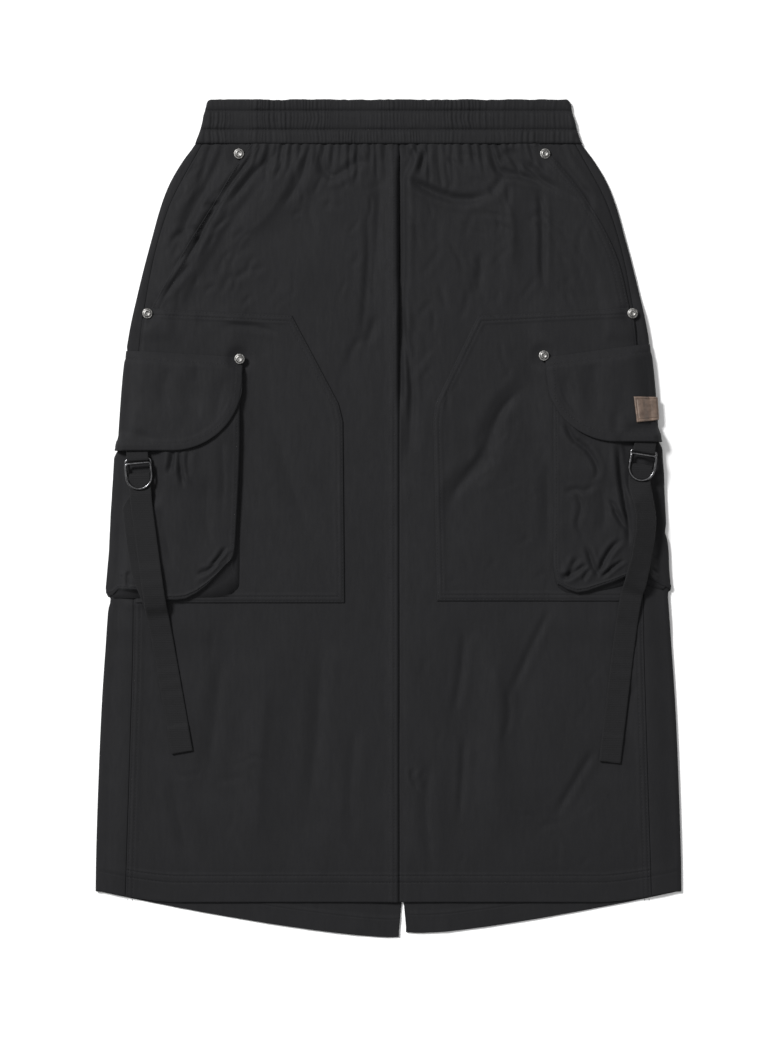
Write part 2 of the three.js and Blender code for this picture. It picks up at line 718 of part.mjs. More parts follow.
// A webbing wall along centre points, each with its direction across and its thickness
function webbingWall(path) {
  const outerRows = [];
  const innerRows = [];
  path.forEach((at, k) => {
    const before = path[Math.max(k - 1, 0)].point;
    const after = path[Math.min(k + 1, path.length - 1)].point;
    const run = new THREE.Vector3(after[0] - before[0], after[1] - before[1], after[2] - before[2]).normalize();
    const across = new THREE.Vector3(at.across[0], at.across[1], 0).normalize();
    const normal = new THREE.Vector3().crossVectors(across, run).normalize();
    const centre = new THREE.Vector3(...at.point);
    const half = (at.thickness ?? WEBBING) / 2;
    const row = (out) => [-1, 0, 1].map((w) => centre.clone()
      .addScaledVector(across, (w * WEBBING_WIDTH) / 2).addScaledVector(normal, out).toArray());
    outerRows.push(row(half));
    innerRows.push(row(-half));
  });
  return wall(outerRows, innerRows);
}

// The tab: a loop of webbing that comes from under the flap, goes round the upper ring's bar and back
function ringTab(side) {
  const frame = ringFrame(side);
  const path = [];
  const put = (along, height) => path.push({ point: frame.point(0, along, height), across: frame.across });
  const hidden = UNDER_WEBBING + WEBBING + SEAM_GAP;
  put(-12, UNDER_WEBBING);
  put(-6, UNDER_WEBBING);
  for (let turn = 0; turn <= 180; turn += 30) {
    const r = radians(turn);
    put(LOOP_RADIUS * Math.sin(r), WIRE_HEIGHT - LOOP_RADIUS * Math.cos(r));
  }
  put(-4, OVER_WEBBING - 0.5);
  put(-9, hidden + 0.3);
  put(-12, hidden);
  return webbingWall(path);
}

// A D-ring: a straight bar, two short legs and a round end, as a closed wire
function dRing(side, lower) {
  const frame = ringFrame(side);
  const shift = lower ? RING_OFFSET : 0;
  const height = lower ? LOWER_RING_HEIGHT : WIRE_HEIGHT;
  const line = [];
  const corner = 2;
  const legs = RING_LENGTH - RING_HALF_WIDTH;
  for (const turn of [0, 45, 90]) {
    const r = radians(turn);
    line.push([RING_HALF_WIDTH - corner + corner * Math.sin(r), corner - corner * Math.cos(r)]);
  }
  for (let turn = 0; turn <= 180; turn += 18) {
    const r = radians(turn);
    line.push([RING_HALF_WIDTH * Math.cos(r), legs + RING_HALF_WIDTH * Math.sin(r)]);
  }
  for (const turn of [90, 45, 0]) {
    const r = radians(turn);
    line.push([-RING_HALF_WIDTH + corner - corner * Math.sin(r), corner - corner * Math.cos(r)]);
  }
  const sides = 6;
  const count = line.length;
  const positions = [];
  const index = [];
  line.forEach(([across, along], k) => {
    const before = line[(k + count - 1) % count];
    const after = line[(k + 1) % count];
    const run = new THREE.Vector2(after[0] - before[0], after[1] - before[1]).normalize();
    for (let j = 0; j < sides; j += 1) {
      const a = (2 * Math.PI * j) / sides;
      const out = WIRE_RADIUS * Math.cos(a);
      const point = frame.point(across + run.y * out, along + shift - run.x * out, height);
      point[2] += WIRE_RADIUS * Math.sin(a);
      positions.push(point);
    }
  });
  for (let k = 0; k < count; k += 1) {
    const next = (k + 1) % count;
    for (let j = 0; j < sides; j += 1) {
      const up = (j + 1) % sides;
      const [a, b, c, d] = [k * sides + j, next * sides + j, next * sides + up, k * sides + up];
      index.push(a, b, c, a, c, d);
    }
  }
  return solid(positions, index);
}

// The strap: up behind both rings, over the upper ring and down behind the lower one, with a free end
function strap(side) {
  const frame = ringFrame(side);
  const path = [];
  const folded = STRAP_FOLD + LOOP_RADIUS;
  const run = strapRun(side, frame);
  const hiddenLength = 112;
  const steps = 8;
  for (let k = steps; k >= 1; k -= 1) {
    const at = run((hiddenLength * k) / steps);
    path.push({ point: [at.x, at.y, at.base + UNDER_WEBBING], across: at.across });
  }
  path.push({ point: frame.point(0, folded + 1, UNDER_WEBBING), across: frame.across });
  for (let turn = 30; turn <= 150; turn += 30) {
    const r = radians(turn);
    const point = frame.point(0, folded - LOOP_RADIUS * Math.sin(r), WIRE_HEIGHT - LOOP_RADIUS * Math.cos(r));
    path.push({ point, across: frame.across });
  }
  for (const along of [folded + 1, folded + 8, RING_LENGTH + RING_OFFSET + 1]) {
    path.push({ point: frame.point(0, along, OVER_WEBBING), across: frame.across });
  }
  const tailLength = run.total;
  const tailSteps = 19;
  for (let k = 1; k <= tailSteps; k += 1) {
    const travel = mix(0, tailLength, k / tailSteps);
    const at = run(travel);
    const overUnder = 1 - smooth((travel - hiddenLength - 6) / 14);
    const settled = smooth(travel / 30);
    const low = UNDER_WEBBING + (WEBBING + SEAM_GAP) * overUnder;
    const height = mix(OVER_WEBBING, low, settled);
    const thickness = travel > tailLength - STRAP_HEM ? WEBBING * 1.8 : WEBBING;
    const lifted = (thickness - WEBBING) / 2;
    path.push({ point: [at.x, at.y, at.base + height + lifted], across: at.across, thickness });
  }
  return webbingWall(path);
}

// Follows the strap's centre line down from the rings: place, direction across and the surface under it
function strapRun(side, frame) {
  const start = frame.point(0, RING_LENGTH + RING_OFFSET + 3, 0);
  const knots = [[start[0], start[1]], ...side.strap.map((knot) => [knot.x, LENGTH / 2 - knot.down])];
  const curve = new THREE.CatmullRomCurve3(knots.map(([x, y]) => new THREE.Vector3(x, y, 0)), false, 'centripetal');
  const total = curve.getLength();
  const run = (travel) => {
    const t = clamp(travel / total, 0, 1);
    const at = curve.getPointAt(t);
    const way = curve.getTangentAt(t);
    const base = topNear(side, Math.abs(at.x), LENGTH / 2 - at.y, 11);
    return { x: at.x, y: at.y, across: [-way.y, way.x], base };
  };
  run.total = total;
  return run;
}

// A rivet cap, domed with a small centre dimple
function rivet() {
  const profile = [
    [0, 0], [RIVET_RADIUS * 0.92, 0], [RIVET_RADIUS, 0.35], [RIVET_RADIUS * 0.84, RIVET_HEIGHT * 0.8],
    [RIVET_RADIUS * 0.55, RIVET_HEIGHT], [RIVET_RADIUS * 0.3, RIVET_HEIGHT * 0.78], [0, RIVET_HEIGHT * 0.72],
  ];
  const cap = new THREE.LatheGeometry(profile.map(([r, h]) => new THREE.Vector2(r, h)), 10);
  cap.rotateX(Math.PI / 2);
  return cap;
}

// Top of the flap at a place on the front, or of what lies there without it
function flapSurface(side, x, down) {
  const under = stackTop(side, x, down);
  if (x < side.flapInner - 3 || down < side.flapTopInner - 3 || down > side.flapBottom) return under;
  const at = { on: 'front', x: clamp(x, side.flapInner, foldStart(down)) };
  return Math.max(under, frontTop(side, at.x, down) + flapIn(side, at, down) + CLOTH);
}

// The leather label, curved round the side fold on the right flap
const LABEL = { x: 219.5, down: 266, height: 20.6, slant: 2.6, gap: 0.6 };

function leatherLabel(side) {
  const rows = [];
  for (let r = 0; r <= 4; r += 1) {
    const share = r / 4;
    const stations = [];
    const put = (station, across) => {
      const down = LABEL.down + share * (LABEL.height + LABEL.slant * (1 - across));
      const x = station.on === 'front' ? mix(LABEL.x + LABEL.slant * share, foldStart(down), station.t) : null;
      stations.push({ ...station, x, down, at: stations.length });
    };
    for (let k = 0; k <= 3; k += 1) put({ on: 'front', t: k / 3 }, (k / 3) * 0.65);
    for (const turn of FOLD_TURNS.slice(0, 2)) put({ on: 'fold', turn }, 0.65 + (0.35 * turn) / 60);
    rows.push(stations);
  }
  const height = (at) => flapIn(side, at, at.down) + CLOTH + LABEL.gap;
  return laidWall(side, rows, height, LEATHER);
}

add('waistband', waistband(), 'cloth');
for (const side of SIDES) {
  add(`front_${side.name}`, frontPanel(side), 'cloth');
  add(`back_${side.name}`, backPanel(side), 'cloth');
  add(`hip_facing_${side.name}`, hipFacing(side), 'cloth');
  add(`thigh_patch_${side.name}`, thighPatch(side), 'cloth');
  add(`cargo_pocket_${side.name}`, cargoPocket(side), 'cloth');
  add(`cargo_flap_${side.name}`, cargoFlap(side), 'cloth');
  add(`ring_tab_${side.name}`, ringTab(side), 'webbing');
  add(`d_ring_${side.name}_upper`, dRing(side, false), 'ring');
  add(`d_ring_${side.name}_lower`, dRing(side, true), 'ring');
  add(`strap_${side.name}`, strap(side), 'webbing');
  for (const spot of side.rivets) {
    const cap = add(`rivet_${spot.name}_${side.name}`, rivet(), 'rivet');
    const top = topNear(side, spot.x, spot.down, RIVET_RADIUS, flapSurface);
    cap.position.set(side.sign * spot.x, LENGTH / 2 - spot.down, top + SEAM_GAP);
  }
}
add('leather_label', leatherLabel(SIDES[1]), 'leather');

export default skirt;
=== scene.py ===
# A cargo utility skirt laid flat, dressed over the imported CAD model.
# Lengths are in millimetres, +Z up and +Y towards the waist, and become metres when a mesh is made.
# "down" is the distance below the waist edge. "x" is the distance from the middle, on either side.
import math
from types import SimpleNamespace

import bpy
import numpy as np
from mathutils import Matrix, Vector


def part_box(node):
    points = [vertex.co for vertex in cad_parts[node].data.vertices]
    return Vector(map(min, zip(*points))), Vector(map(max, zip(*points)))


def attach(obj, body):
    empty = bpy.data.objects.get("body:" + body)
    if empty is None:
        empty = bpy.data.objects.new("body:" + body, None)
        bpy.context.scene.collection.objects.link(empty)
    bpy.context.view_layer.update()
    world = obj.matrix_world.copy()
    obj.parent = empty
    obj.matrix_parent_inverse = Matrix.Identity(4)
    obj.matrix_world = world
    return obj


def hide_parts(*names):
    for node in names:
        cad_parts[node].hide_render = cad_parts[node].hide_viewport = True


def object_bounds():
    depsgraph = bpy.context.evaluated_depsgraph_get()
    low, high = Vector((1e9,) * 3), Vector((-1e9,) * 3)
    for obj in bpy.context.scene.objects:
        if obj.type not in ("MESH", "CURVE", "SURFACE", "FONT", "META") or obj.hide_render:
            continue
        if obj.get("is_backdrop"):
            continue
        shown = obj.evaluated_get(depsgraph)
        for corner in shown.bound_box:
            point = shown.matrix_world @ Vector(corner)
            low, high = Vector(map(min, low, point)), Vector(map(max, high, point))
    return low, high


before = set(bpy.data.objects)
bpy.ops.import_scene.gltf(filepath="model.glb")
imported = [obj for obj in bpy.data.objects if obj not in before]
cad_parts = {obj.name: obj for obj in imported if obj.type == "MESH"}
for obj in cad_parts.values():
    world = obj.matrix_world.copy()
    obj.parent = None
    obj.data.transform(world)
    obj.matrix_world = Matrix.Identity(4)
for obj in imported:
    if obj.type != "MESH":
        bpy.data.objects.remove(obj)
CAD_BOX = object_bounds()
MM = 0.001

# Driving dimensions, as in the CAD source
LENGTH = 755
CLOTH = 1.2
SEAM_GAP = 0.3
LAYER = CLOTH + SEAM_GAP
AIR = 2.2
FOLD_REACH = 5
FOLD_ARC = 13
BAND_HEIGHT = 40
BAND_WALL = 2.2
BAND_AIR = 1
BAND_SEAMS = (0, 10.5, 27.5, BAND_HEIGHT)
CENTRE_SEAM_X = 9.5
VENT_X = 12.6
PANEL_TOP = BAND_HEIGHT + SEAM_GAP
FRONT_HEM = 723.5
FRONT_HEM_RISE = 11
BACK_HEM = 755.47
BACK_HEM_RISE = 42
VENT_SPREAD = 3
VENT_STEP = 4.5
MOUTH_UNDERLAP = 15
MOUTH_END = 197
PATCH_RISE = 6
POCKET_TOP = 245
POCKET_WRAP = 66
POCKET_PUFF = 2.2
FLAP_WRAP = 68
FLAP_CORNER = 62
FLAP_MIDDLE = 270
FLAP_SETTLE = 12
TAB_ROOM = 5.9
LIFT_MARGIN = 22
LIFT_RAMP = 24
WEBBING_WIDTH = 19.5
WEBBING = 1.2
STRAP_HEM = 25
WIRE_RADIUS = 1
RING_HALF_WIDTH = 11.25
RING_LENGTH = 23
RING_OFFSET = 3.8
RING_THICKER = 1.12
STRAP_FOLD = 13
HIDDEN_STRAP = 112
RIVET_RADIUS = 4.75
RIVET_HEIGHT = 1.9
LEATHER = 1.8
LABEL = SimpleNamespace(x=219.5, down=268.5, height=20.6, slant=2.6, gap=0.6)

# Tables of (down, x)
OUTLINE = (
    (0, 163.5), (18, 167.5), (41, 175), (55, 185), (73, 195.8), (91, 203.4), (127, 213.8),
    (163, 223.2), (199, 231.3), (235, 237.2), (307, 243), (397, 248), (469, 253.3), (541, 258.3),
    (613, 261.5), (685, 263.7), (756, 264.4),
)
SIDE_SEAM = ((40, 168), (100, 199), (217, 223.6), (496, 230), (756, 238))

LEFT = SimpleNamespace(
    name="left", sign=-1, pocket_inner=133.6, pocket_bottom=450.5, patch_bottom=453.6,
    flap_inner=131, flap_top_inner=233, flap_top_outer=227, flap_bottom=317,
    tab_x=224.6, tab_down=324.5, tilt=5,
    mouth=((40, 123.5), (60, 137), (90, 155), (140, 186), (197, 218.6)),
    patch=((195, 87), (274, 45), (290, 41), (453, 39.5)),
    strap=((-220, 374), (-209.3, 451), (-201.7, 496), (-185.5, 588)),
    rivets={"hip": (134.5, 49.5), "mouth": (216.5, 193.5), "flap": (133.6, 234.5)},
    sag=((133.6, 36), (142, 30), (152, 21), (162, 13), (172, 6), (182, 1), (190, 0), (222, 0), (224, 9),
         (243, 10), (248, 4), (262, 0)),
    sag_reach=58, gusset=0.1, notch=452, twist=0,
    turn_in=((0, 8), (12, 7), (24, 5.8), (40, 4.6), (70, 3), (110, 1), (140, 0)),
)
RIGHT = SimpleNamespace(
    name="right", sign=1, pocket_inner=148, pocket_bottom=448, patch_bottom=452,
    flap_inner=141, flap_top_inner=233, flap_top_outer=221, flap_bottom=309,
    tab_x=229, tab_down=317, tilt=-9,
    mouth=((40, 136), (60, 155), (90, 178), (140, 205), (197, 219)),
    patch=((195, 80.5), (274, 42), (290, 40), (453, 43.5)),
    strap=((230, 378), (226.5, 410), (221.5, 434), (214.7, 467), (199, 597)),
    rivets={"hip": (140.9, 49.5), "mouth": (219.2, 193.5), "flap": (139.5, 231.5)},
    sag=((148, 12), (158, 7), (168, 4), (178, 5.5), (188, 9), (202, 14), (216, 20), (232, 20), (247, 10),
         (262, 0)),
    sag_reach=64, gusset=0.55, notch=390, twist=-0.35,
    turn_in=((0, 4), (10, 2), (22, 0), (45, 0)),
)
SIDES = (LEFT, RIGHT)

# Largest folds of the solids: x, down at each end, then width and rise. x is negative on the left
FOLDS = (
    (-114, 50, -160, 108, 10, -1.5), (-95, 62, -140, 122, 11, 1.3), (-152, 118, -194, 180, 13, -1.3),
    (-51, 50, -75, 108, 10, -1.1), (-10, 76, -15, 200, 12, -0.9), (-15, 205, -36, 246, 10, -0.9),
    (-70, 150, -100, 190, 18, 0.9), (9, 46, 11, 160, 8, -1.6), (22, 50, 26, 110, 9, 1.3),
    (30, 82, 66, 92, 9, -1.3), (66, 92, 106, 66, 9, -1.3), (96, 46, 140, 78, 9, -1.3),
    (80, 118, 76, 182, 12, -0.9), (136, 92, 141, 150, 11, -1), (110, 110, 112, 170, 13, 0.9),
    (126, 258, 92, 306, 13, -1.2), (90, 308, 54, 386, 14, -1.2), (22, 262, 17, 334, 11, -1),
    (67, 486, 67, 655, 16, -1.3), (100, 500, 96, 640, 18, 1.1), (125, 500, 108, 574, 14, -1),
    (186, 600, 152, 646, 15, -1.1), (-60, 490, -72, 650, 18, -1.1), (-110, 520, -120, 690, 20, 1),
    (-150, 500, -165, 620, 16, -0.9),
)

# Creases given one by one: width, depth, then points. A negative depth is a ridge
PANEL_CREASES = (
    (2.6, 1.9, (-122, 50), (-134, 66), (-147, 84), (-154, 96)),
    (3, 2.3, (-150, 88), (-157, 101), (-166, 116), (-171, 127), (-180, 143), (-185, 156)),
    (2.6, 1.4, (-177, 147), (-187, 159), (-196, 170), (-206, 184)),
    (2.4, 1.3, (-150, 94), (-160, 97), (-170, 95)),
    (2.4, 1.2, (-168, 121), (-177, 118), (-184, 121)),
    (2.2, 1.1, (-182, 120), (-190, 123), (-198, 131)),
    (5, 1.3, (-146, 46), (-158, 66), (-172, 94), (-186, 122), (-198, 152)),
    (2.4, 1.1, (-169, 61), (-178, 65), (-187, 74)),
    (4, -0.8, (-160, 84), (-172, 106), (-184, 132)),
    (3.5, 1.6, (-102, 50), (-120, 66), (-133, 82), (-147, 98)),
    (3, 1.2, (-94, 48), (-97, 62), (-104, 74)),
    (3.5, 1.6, (-63, 42), (-61, 57), (-52, 70), (-40, 65), (-25, 57), (-10, 63)),
    (4, 1.3, (-73, 44), (-75, 62), (-86, 84), (-98, 100)),
    (5, 1, (-9.5, 64), (-8, 92), (-11, 134), (-14, 176), (-15, 208)),
    (3, 0.8, (-20, 92), (-18, 134), (-21, 186), (-24, 210), (-35, 226)),
    (3.5, 1, (-20, 223), (-14, 206), (-10, 193)),
    (3, 0.9, (-83, 44), (-88, 58), (-96, 76)),
    (2.6, 1.1, (-30, 44), (-27, 61), (-31, 80)),
    (9, -0.9, (-88, 74), (-112, 108), (-139, 128)),
    (10, 0.8, (-176, 196), (-150, 207), (-118, 208)),
    (2.4, 1, (-150, 204), (-120, 206), (-96, 212)),
    (3.4, 2.3, (11.4, 43), (12.4, 100), (12.5, 157), (11.8, 196)),
    (2.6, 1.7, (11.4, 178), (14, 207), (19.6, 244), (21.6, 268), (20, 304)),
    (2.6, 1.5, (11, 186), (11.5, 246), (10.6, 292)),
    (3, 1.2, (19, 206), (24, 232), (23, 256)),
    (3, 1.9, (12, 44), (20, 55), (12, 72)),
    (2.6, 1.7, (22, 44), (20, 55), (16, 66)),
    (2.6, 1.6, (33, 46), (31, 57), (27, 70)),
    (3.4, 2.5, (15.5, 70), (26, 77), (42, 85), (62, 91), (79, 90), (98, 83)),
    (3.2, 1.3, (90, 88), (99, 77), (108, 63)),
    (3, 2, (92, 44), (97.5, 60), (104, 67), (124, 71), (145, 81)),
    (3, 1.5, (99, 57), (108, 50), (116, 53)),
    (3.2, 1.5, (118, 55), (139, 73), (160, 86)),
    (4, 1.2, (150, 50), (172, 77), (190, 104)),
    (2.6, 1.7, (136, 80), (139, 109), (139, 149), (140, 178)),
    (4, 1.1, (84, 136), (83, 158), (80.5, 181)),
    (5, -0.8, (108, 92), (112, 120), (110, 160)),
    (6, 1.5, (127, 256), (103, 277), (92, 305), (85, 329), (60, 352), (49, 392)),
    (2.6, 0.9, (120, 262), (101, 284), (89, 314), (72, 338), (56, 366)),
    (5, 1, (142, 316), (144, 366), (143, 415)),
    (5, 1.1, (22, 263), (20, 300), (17.5, 333)),
    (3.4, 0.9, (69, 476), (67, 508), (62, 541), (57, 562)),
    (2.8, 0.9, (69, 570), (67, 610), (64.5, 656)),
    (3, 0.8, (147, 456), (130, 492), (107, 543)),
    (2.6, 0.6, (107, 528), (109, 556), (104, 580)),
    (3, 0.9, (187, 584), (170, 612), (146.5, 652)),
    (2.2, 0.9, (24, 602), (22, 610), (28, 624)),
    (3.2, 2.1, (-217, 446.5), (-226, 447.5), (-236, 447.5), (-245, 446.5)),
    (9, -0.8, (96, 500), (99, 560), (94, 628)),
    (6, 0.9, (-60, 490), (-63, 560), (-72, 650)),
    (11, -0.8, (-110, 520), (-116, 600), (-120, 690)),
    (6, 0.8, (-150, 500), (-156, 560), (-165, 620)),
    (5, 0.8, (-196, 610), (-188, 650), (-176, 692)),
    (5, 0.6, (-28, 560), (-34, 620), (-31, 676)),
    (5, 0.8, (38, 590), (34, 640), (40, 700)),
    (7, 0.8, (-104, 296), (-86, 350), (-66, 402)),
    (6, 0.7, (222, 520), (214, 556), (219, 600)),
    (3, 0.5, (-22, 212), (-33, 228), (-36, 246)),
)

POCKET_CREASES = {
    "left": (
        (2.6, 2, (-192, 316), (-194, 328), (-198, 340)),
        (2.2, 2, (-186.5, 315), (-186, 332), (-183, 352)),
        (2.4, 1, (-179, 316), (-180, 330), (-178, 344)),
        (3, 1.3, (-172, 430), (-160, 432), (-148, 424)),
        (2.6, 1.5, (-158, 428), (-149, 419), (-142, 404)),
        (1.4, 2.8, (-223.7, 420), (-223.9, 432), (-223.7, 446)),
        (2, 1.6, (-246, 428), (-244, 438), (-245, 450)),
        (1.8, 1.3, (-239, 433), (-240, 450)),
        (2.2, 1.5, (-232, 429), (-234, 440), (-232, 450)),
        (9, 0.8, (-160, 336), (-163, 372), (-157, 416)),
        (6, 0.9, (-206, 366), (-199, 396), (-193, 428)),
        (4, 0.6, (-150, 300), (-147, 340), (-148, 380)),
    ),
    "right": (
        (2.2, 2, (153, 439), (163, 432), (172, 425), (180, 421)),
        (2.2, 1.9, (190, 438), (184, 424), (180, 410), (176, 400)),
        (2.4, 2.2, (189, 436), (192, 424), (200, 408), (211, 396)),
        (2.2, 1.7, (190, 440), (200, 431), (213, 422)),
        (2.4, 1.8, (160, 436), (166, 422), (171, 412)),
        (2, 1.3, (174, 438), (178, 430), (183, 426)),
        (2.6, 2.8, (206, 307), (208, 328), (210, 347), (216, 386), (214.6, 412)),
        (2.4, 2.2, (214.7, 309), (219, 327), (218, 345)),
        (2, 1.5, (211, 309), (213, 322), (211, 338)),
        (2.2, 1.9, (238.8, 350), (239.3, 376), (238.5, 410)),
        (2, 1.8, (243.5, 398), (247, 408), (251, 417)),
        (2.2, 1.3, (241, 385), (245, 394), (249, 400)),
        (2.4, 1.6, (156.7, 287), (166, 306), (181, 319.5), (187.7, 336), (179, 347)),
        (2.4, 0.7, (156.7, 355), (168, 352), (177, 353), (186, 345)),
        (2.4, 0.8, (166, 350), (173, 366), (170, 384), (178, 398)),
        (2.2, 1.8, (200.6, 368), (209, 381), (214.6, 390)),
        (2, 1.2, (198, 360), (206, 372), (212, 384)),
        (2.2, 1.3, (236, 419), (245, 418), (252, 419)),
        (2.2, 1.3, (236, 435), (245, 436), (252, 435)),
        (5, 0.8, (190, 350), (194, 372), (190, 396)),
    ),
}

FLAP_CREASES = {
    "left": (
        (7, 0.8, (-168, 236), (-173, 262), (-171, 296)),
        (5, 0.6, (-197, 242), (-200, 262), (-199, 282)),
        (6, 0.5, (-146, 250), (-152, 276), (-158, 302)),
    ),
    "right": (
        (7, 0.9, (182, 236), (186, 262), (183, 292)),
        (4, 0.7, (203, 282), (205, 294), (204, 306)),
        (5, 0.6, (158, 246), (162, 270), (168, 292)),
    ),
}


# Numeric helpers
def smooth(t):
    """0 to 1 on an eased curve."""
    t = np.clip(t, 0, 1)
    return t * t * (3 - 2 * t)


def mix(a, b, t):
    return a + (b - a) * t


def bell(distance, width):
    return np.exp(-((distance / width) ** 2))


def read(table, down):
    """Reads a table on a smooth curve through its rows."""
    places, values = np.array(table, float).T
    at = np.clip(down, places[0], places[-1])
    k = np.clip(np.searchsorted(places, at) - 1, 0, len(places) - 2)
    step = np.diff(values) / np.diff(places)
    slope = np.concatenate([step[:1], (step[:-1] + step[1:]) / 2, step[-1:]])
    span = places[k + 1] - places[k]
    t = (at - places[k]) / span
    bent = span * (slope[k] * t * (1 - t) ** 2 - slope[k + 1] * t * t * (1 - t))
    return mix(values[k], values[k + 1], t * t * (3 - 2 * t)) + bent


def noise(x, y, cell_x, cell_y, seed):
    """Smooth value noise from -1 to 1 on cells of that size."""
    u = np.asarray(x, float) / cell_x + 64
    v = np.asarray(y, float) / cell_y + 64
    u, v = np.broadcast_arrays(u, v)
    lattice = np.random.RandomState(seed).uniform(-1, 1, (256, 256))
    i, j = np.floor(u).astype(int), np.floor(v).astype(int)
    s, t = smooth(u - i), smooth(v - j)
    corner = lambda a, b: lattice[(i + a) % 256, (j + b) % 256]
    return mix(mix(corner(0, 0), corner(1, 0), s), mix(corner(0, 1), corner(1, 1), s), t)


def curve(points, steps=5):
    """A smooth line through points, as an array."""
    p = np.array(points, float)
    p = np.vstack([2 * p[0] - p[1], p, 2 * p[-1] - p[-2]])
    t = (np.arange(steps) / steps)[:, None]
    line = []
    for a, b, c, d in zip(p, p[1:], p[2:], p[3:]):
        line.append(0.5 * (2 * b + (c - a) * t + (2 * a - 5 * b + 4 * c - d) * t**2
                           + (3 * b - a - 3 * c + d) * t**3))
    return np.vstack(line + [p[-2:-1]])


TINY = 1e-9
FAR = 1e9


def segment_gap(x, y, a, b):
    """The nearest place between two points, as a share of the way, and the distance to it."""
    (ax, ay), (dx, dy) = a, np.subtract(b, a)
    t = np.clip(((x - ax) * dx + (y - ay) * dy) / (dx * dx + dy * dy + TINY), 0, 1)
    return t, np.hypot(x - ax - t * dx, y - ay - t * dy)


def travelled(line):
    """Distance along a line of points at each point."""
    return np.concatenate([[0], np.cumsum(np.linalg.norm(np.diff(line, axis=0), axis=1))])


# The crease field. LEAN makes one side of a crease steeper, SHOULDER is the swelling beside it and CRISP is
# how sharp its bottom is. A crease tapers over CREASE_START and CREASE_END of its length
LEAN = 0.38
SHOULDER = 0.36
CRISP = 0.55
CREASE_DEPTH = 1.65
CREASE_REACH = 3.4
CREASE_START = 0.2
CREASE_END = 0.35


def crease_rise(creases, x, down):
    """Rise of the cloth from creases, each with a steeper side, soft shoulders and tapered ends."""
    x, down = np.broadcast_arrays(np.asarray(x, float), np.asarray(down, float))
    rise = np.zeros(x.shape)
    for width, depth, *points in creases:
        line = curve(points)
        reach = CREASE_REACH * width
        low, high = line.min(0) - reach, line.max(0) + reach
        near = (x > low[0]) & (x < high[0]) & (down > low[1]) & (down < high[1])
        if not near.any():
            continue
        px, pd = x[near], down[near]
        total = travelled(line)
        away, side, share = np.full(px.shape, FAR), np.zeros(px.shape), np.zeros(px.shape)
        for a, b, start, end in zip(line, line[1:], total, total[1:]):
            t, gap = segment_gap(px, pd, a, b)
            dx, dd = b - a
            closer = gap < away
            away = np.where(closer, gap, away)
            turned = dx * (pd - a[1]) - dd * (px - a[0])
            side = np.where(closer, np.sign(turned) * np.sign(dd - dx + TINY), side)
            share = np.where(closer, (start + t * (end - start)) / total[-1], share)
        taper = smooth(share / CREASE_START) * smooth((1 - share) / CREASE_END)
        lean = 1 + LEAN * np.tanh(side * away / (0.4 * width))
        form = mix(bell(away, width * lean), np.exp(-away / (0.62 * width * lean)), CRISP)
        form = form - SHOULDER * bell(away - 2 * width, 1.1 * width)
        rise[near] -= CREASE_DEPTH * depth * taper * form
    return rise


GATHER_REACH = 172


def gathers(side):
    """Short uneven folds that run down from the waistband, fanning out with the skirt."""
    draw = np.random.RandomState(31 if side.sign < 0 else 47)
    made = []
    x = 3.0
    while x < GATHER_REACH:
        length = draw.uniform(13, 34) + (draw.uniform(10, 34) if draw.rand() < 0.3 else 0)
        lean_out = x / GATHER_REACH * 0.42 + draw.uniform(-0.12, 0.12)
        width = draw.uniform(1.4, 2.7)
        depth = draw.uniform(0.5, 1.35) * min(1, width / 2.2)
        bow = draw.uniform(-1.6, 1.6)
        top = PANEL_TOP - 6
        points = [
            (side.sign * x, top),
            (side.sign * (x + lean_out * length / 2 + bow), top + length / 2 + 4),
            (side.sign * (x + lean_out * length), top + length + 6),
        ]
        made.append((width, depth, *points))
        x += draw.uniform(4.6, 9.5)
    return made


GATHERS = {side.name: gathers(side) for side in SIDES}

# Where small creases lie: number, x and down ranges, their heading from straight down, its spread, and depth
CRUMPLED = {
    "left": (
        (34, (-204, -122), (58, 182), -0.57, 0.35, 0.55), (24, (-116, -6), (48, 116), -0.35, 0.6, 0.5),
        (12, (-44, 2), (120, 268), 0.05, 0.4, 0.4), (10, (-160, -40), (120, 196), -0.5, 0.6, 0.28),
        (12, (-205, -24), (470, 690), 0.1, 0.6, 0.22), (8, (-120, -48), (210, 440), -0.3, 0.6, 0.2),
    ),
    "right": (
        (24, (12, 62), (48, 300), 0.05, 0.45, 0.55), (26, (60, 150), (50, 128), 0.8, 0.7, 0.5),
        (22, (140, 206), (66, 182), 0.42, 0.3, 0.45), (14, (60, 140), (120, 196), 0.2, 0.6, 0.35),
        (16, (48, 138), (230, 440), -0.55, 0.5, 0.35), (18, (18, 205), (466, 692), -0.1, 0.6, 0.3),
    ),
}


def crumples(name):
    """Small creases of crushed nylon, each short and a little bowed."""
    draw = np.random.RandomState(101 if name == "left" else 107)
    made = []
    for count, x_range, down_range, heading, spread_out, depth in CRUMPLED[name]:
        for _ in range(count):
            x, down = draw.uniform(*x_range), draw.uniform(*down_range)
            angle = heading + draw.normal(0, spread_out)
            half = draw.uniform(5, 17)
            bow = draw.uniform(-2.6, 2.6)
            dx, dd = math.sin(angle), math.cos(angle)
            points = [(x - dx * half, down - dd * half), (x + dd * bow, down - dx * bow),
                      (x + dx * half, down + dd * half)]
            made.append((draw.uniform(1.5, 3), depth * draw.uniform(0.35, 1.1), *points))
    return made


CRUMPLES = {side.name: crumples(side.name) for side in SIDES}


# Places on the skirt
def half_width(down):
    return read(OUTLINE, down)


def fold_start(down):
    return half_width(down) - FOLD_REACH


def seam_x(down):
    return read(SIDE_SEAM, down)


def mouth_x(side, down):
    return read(side.mouth, down)


def patch_edge(side, down):
    return np.interp(down, *zip(*side.patch))


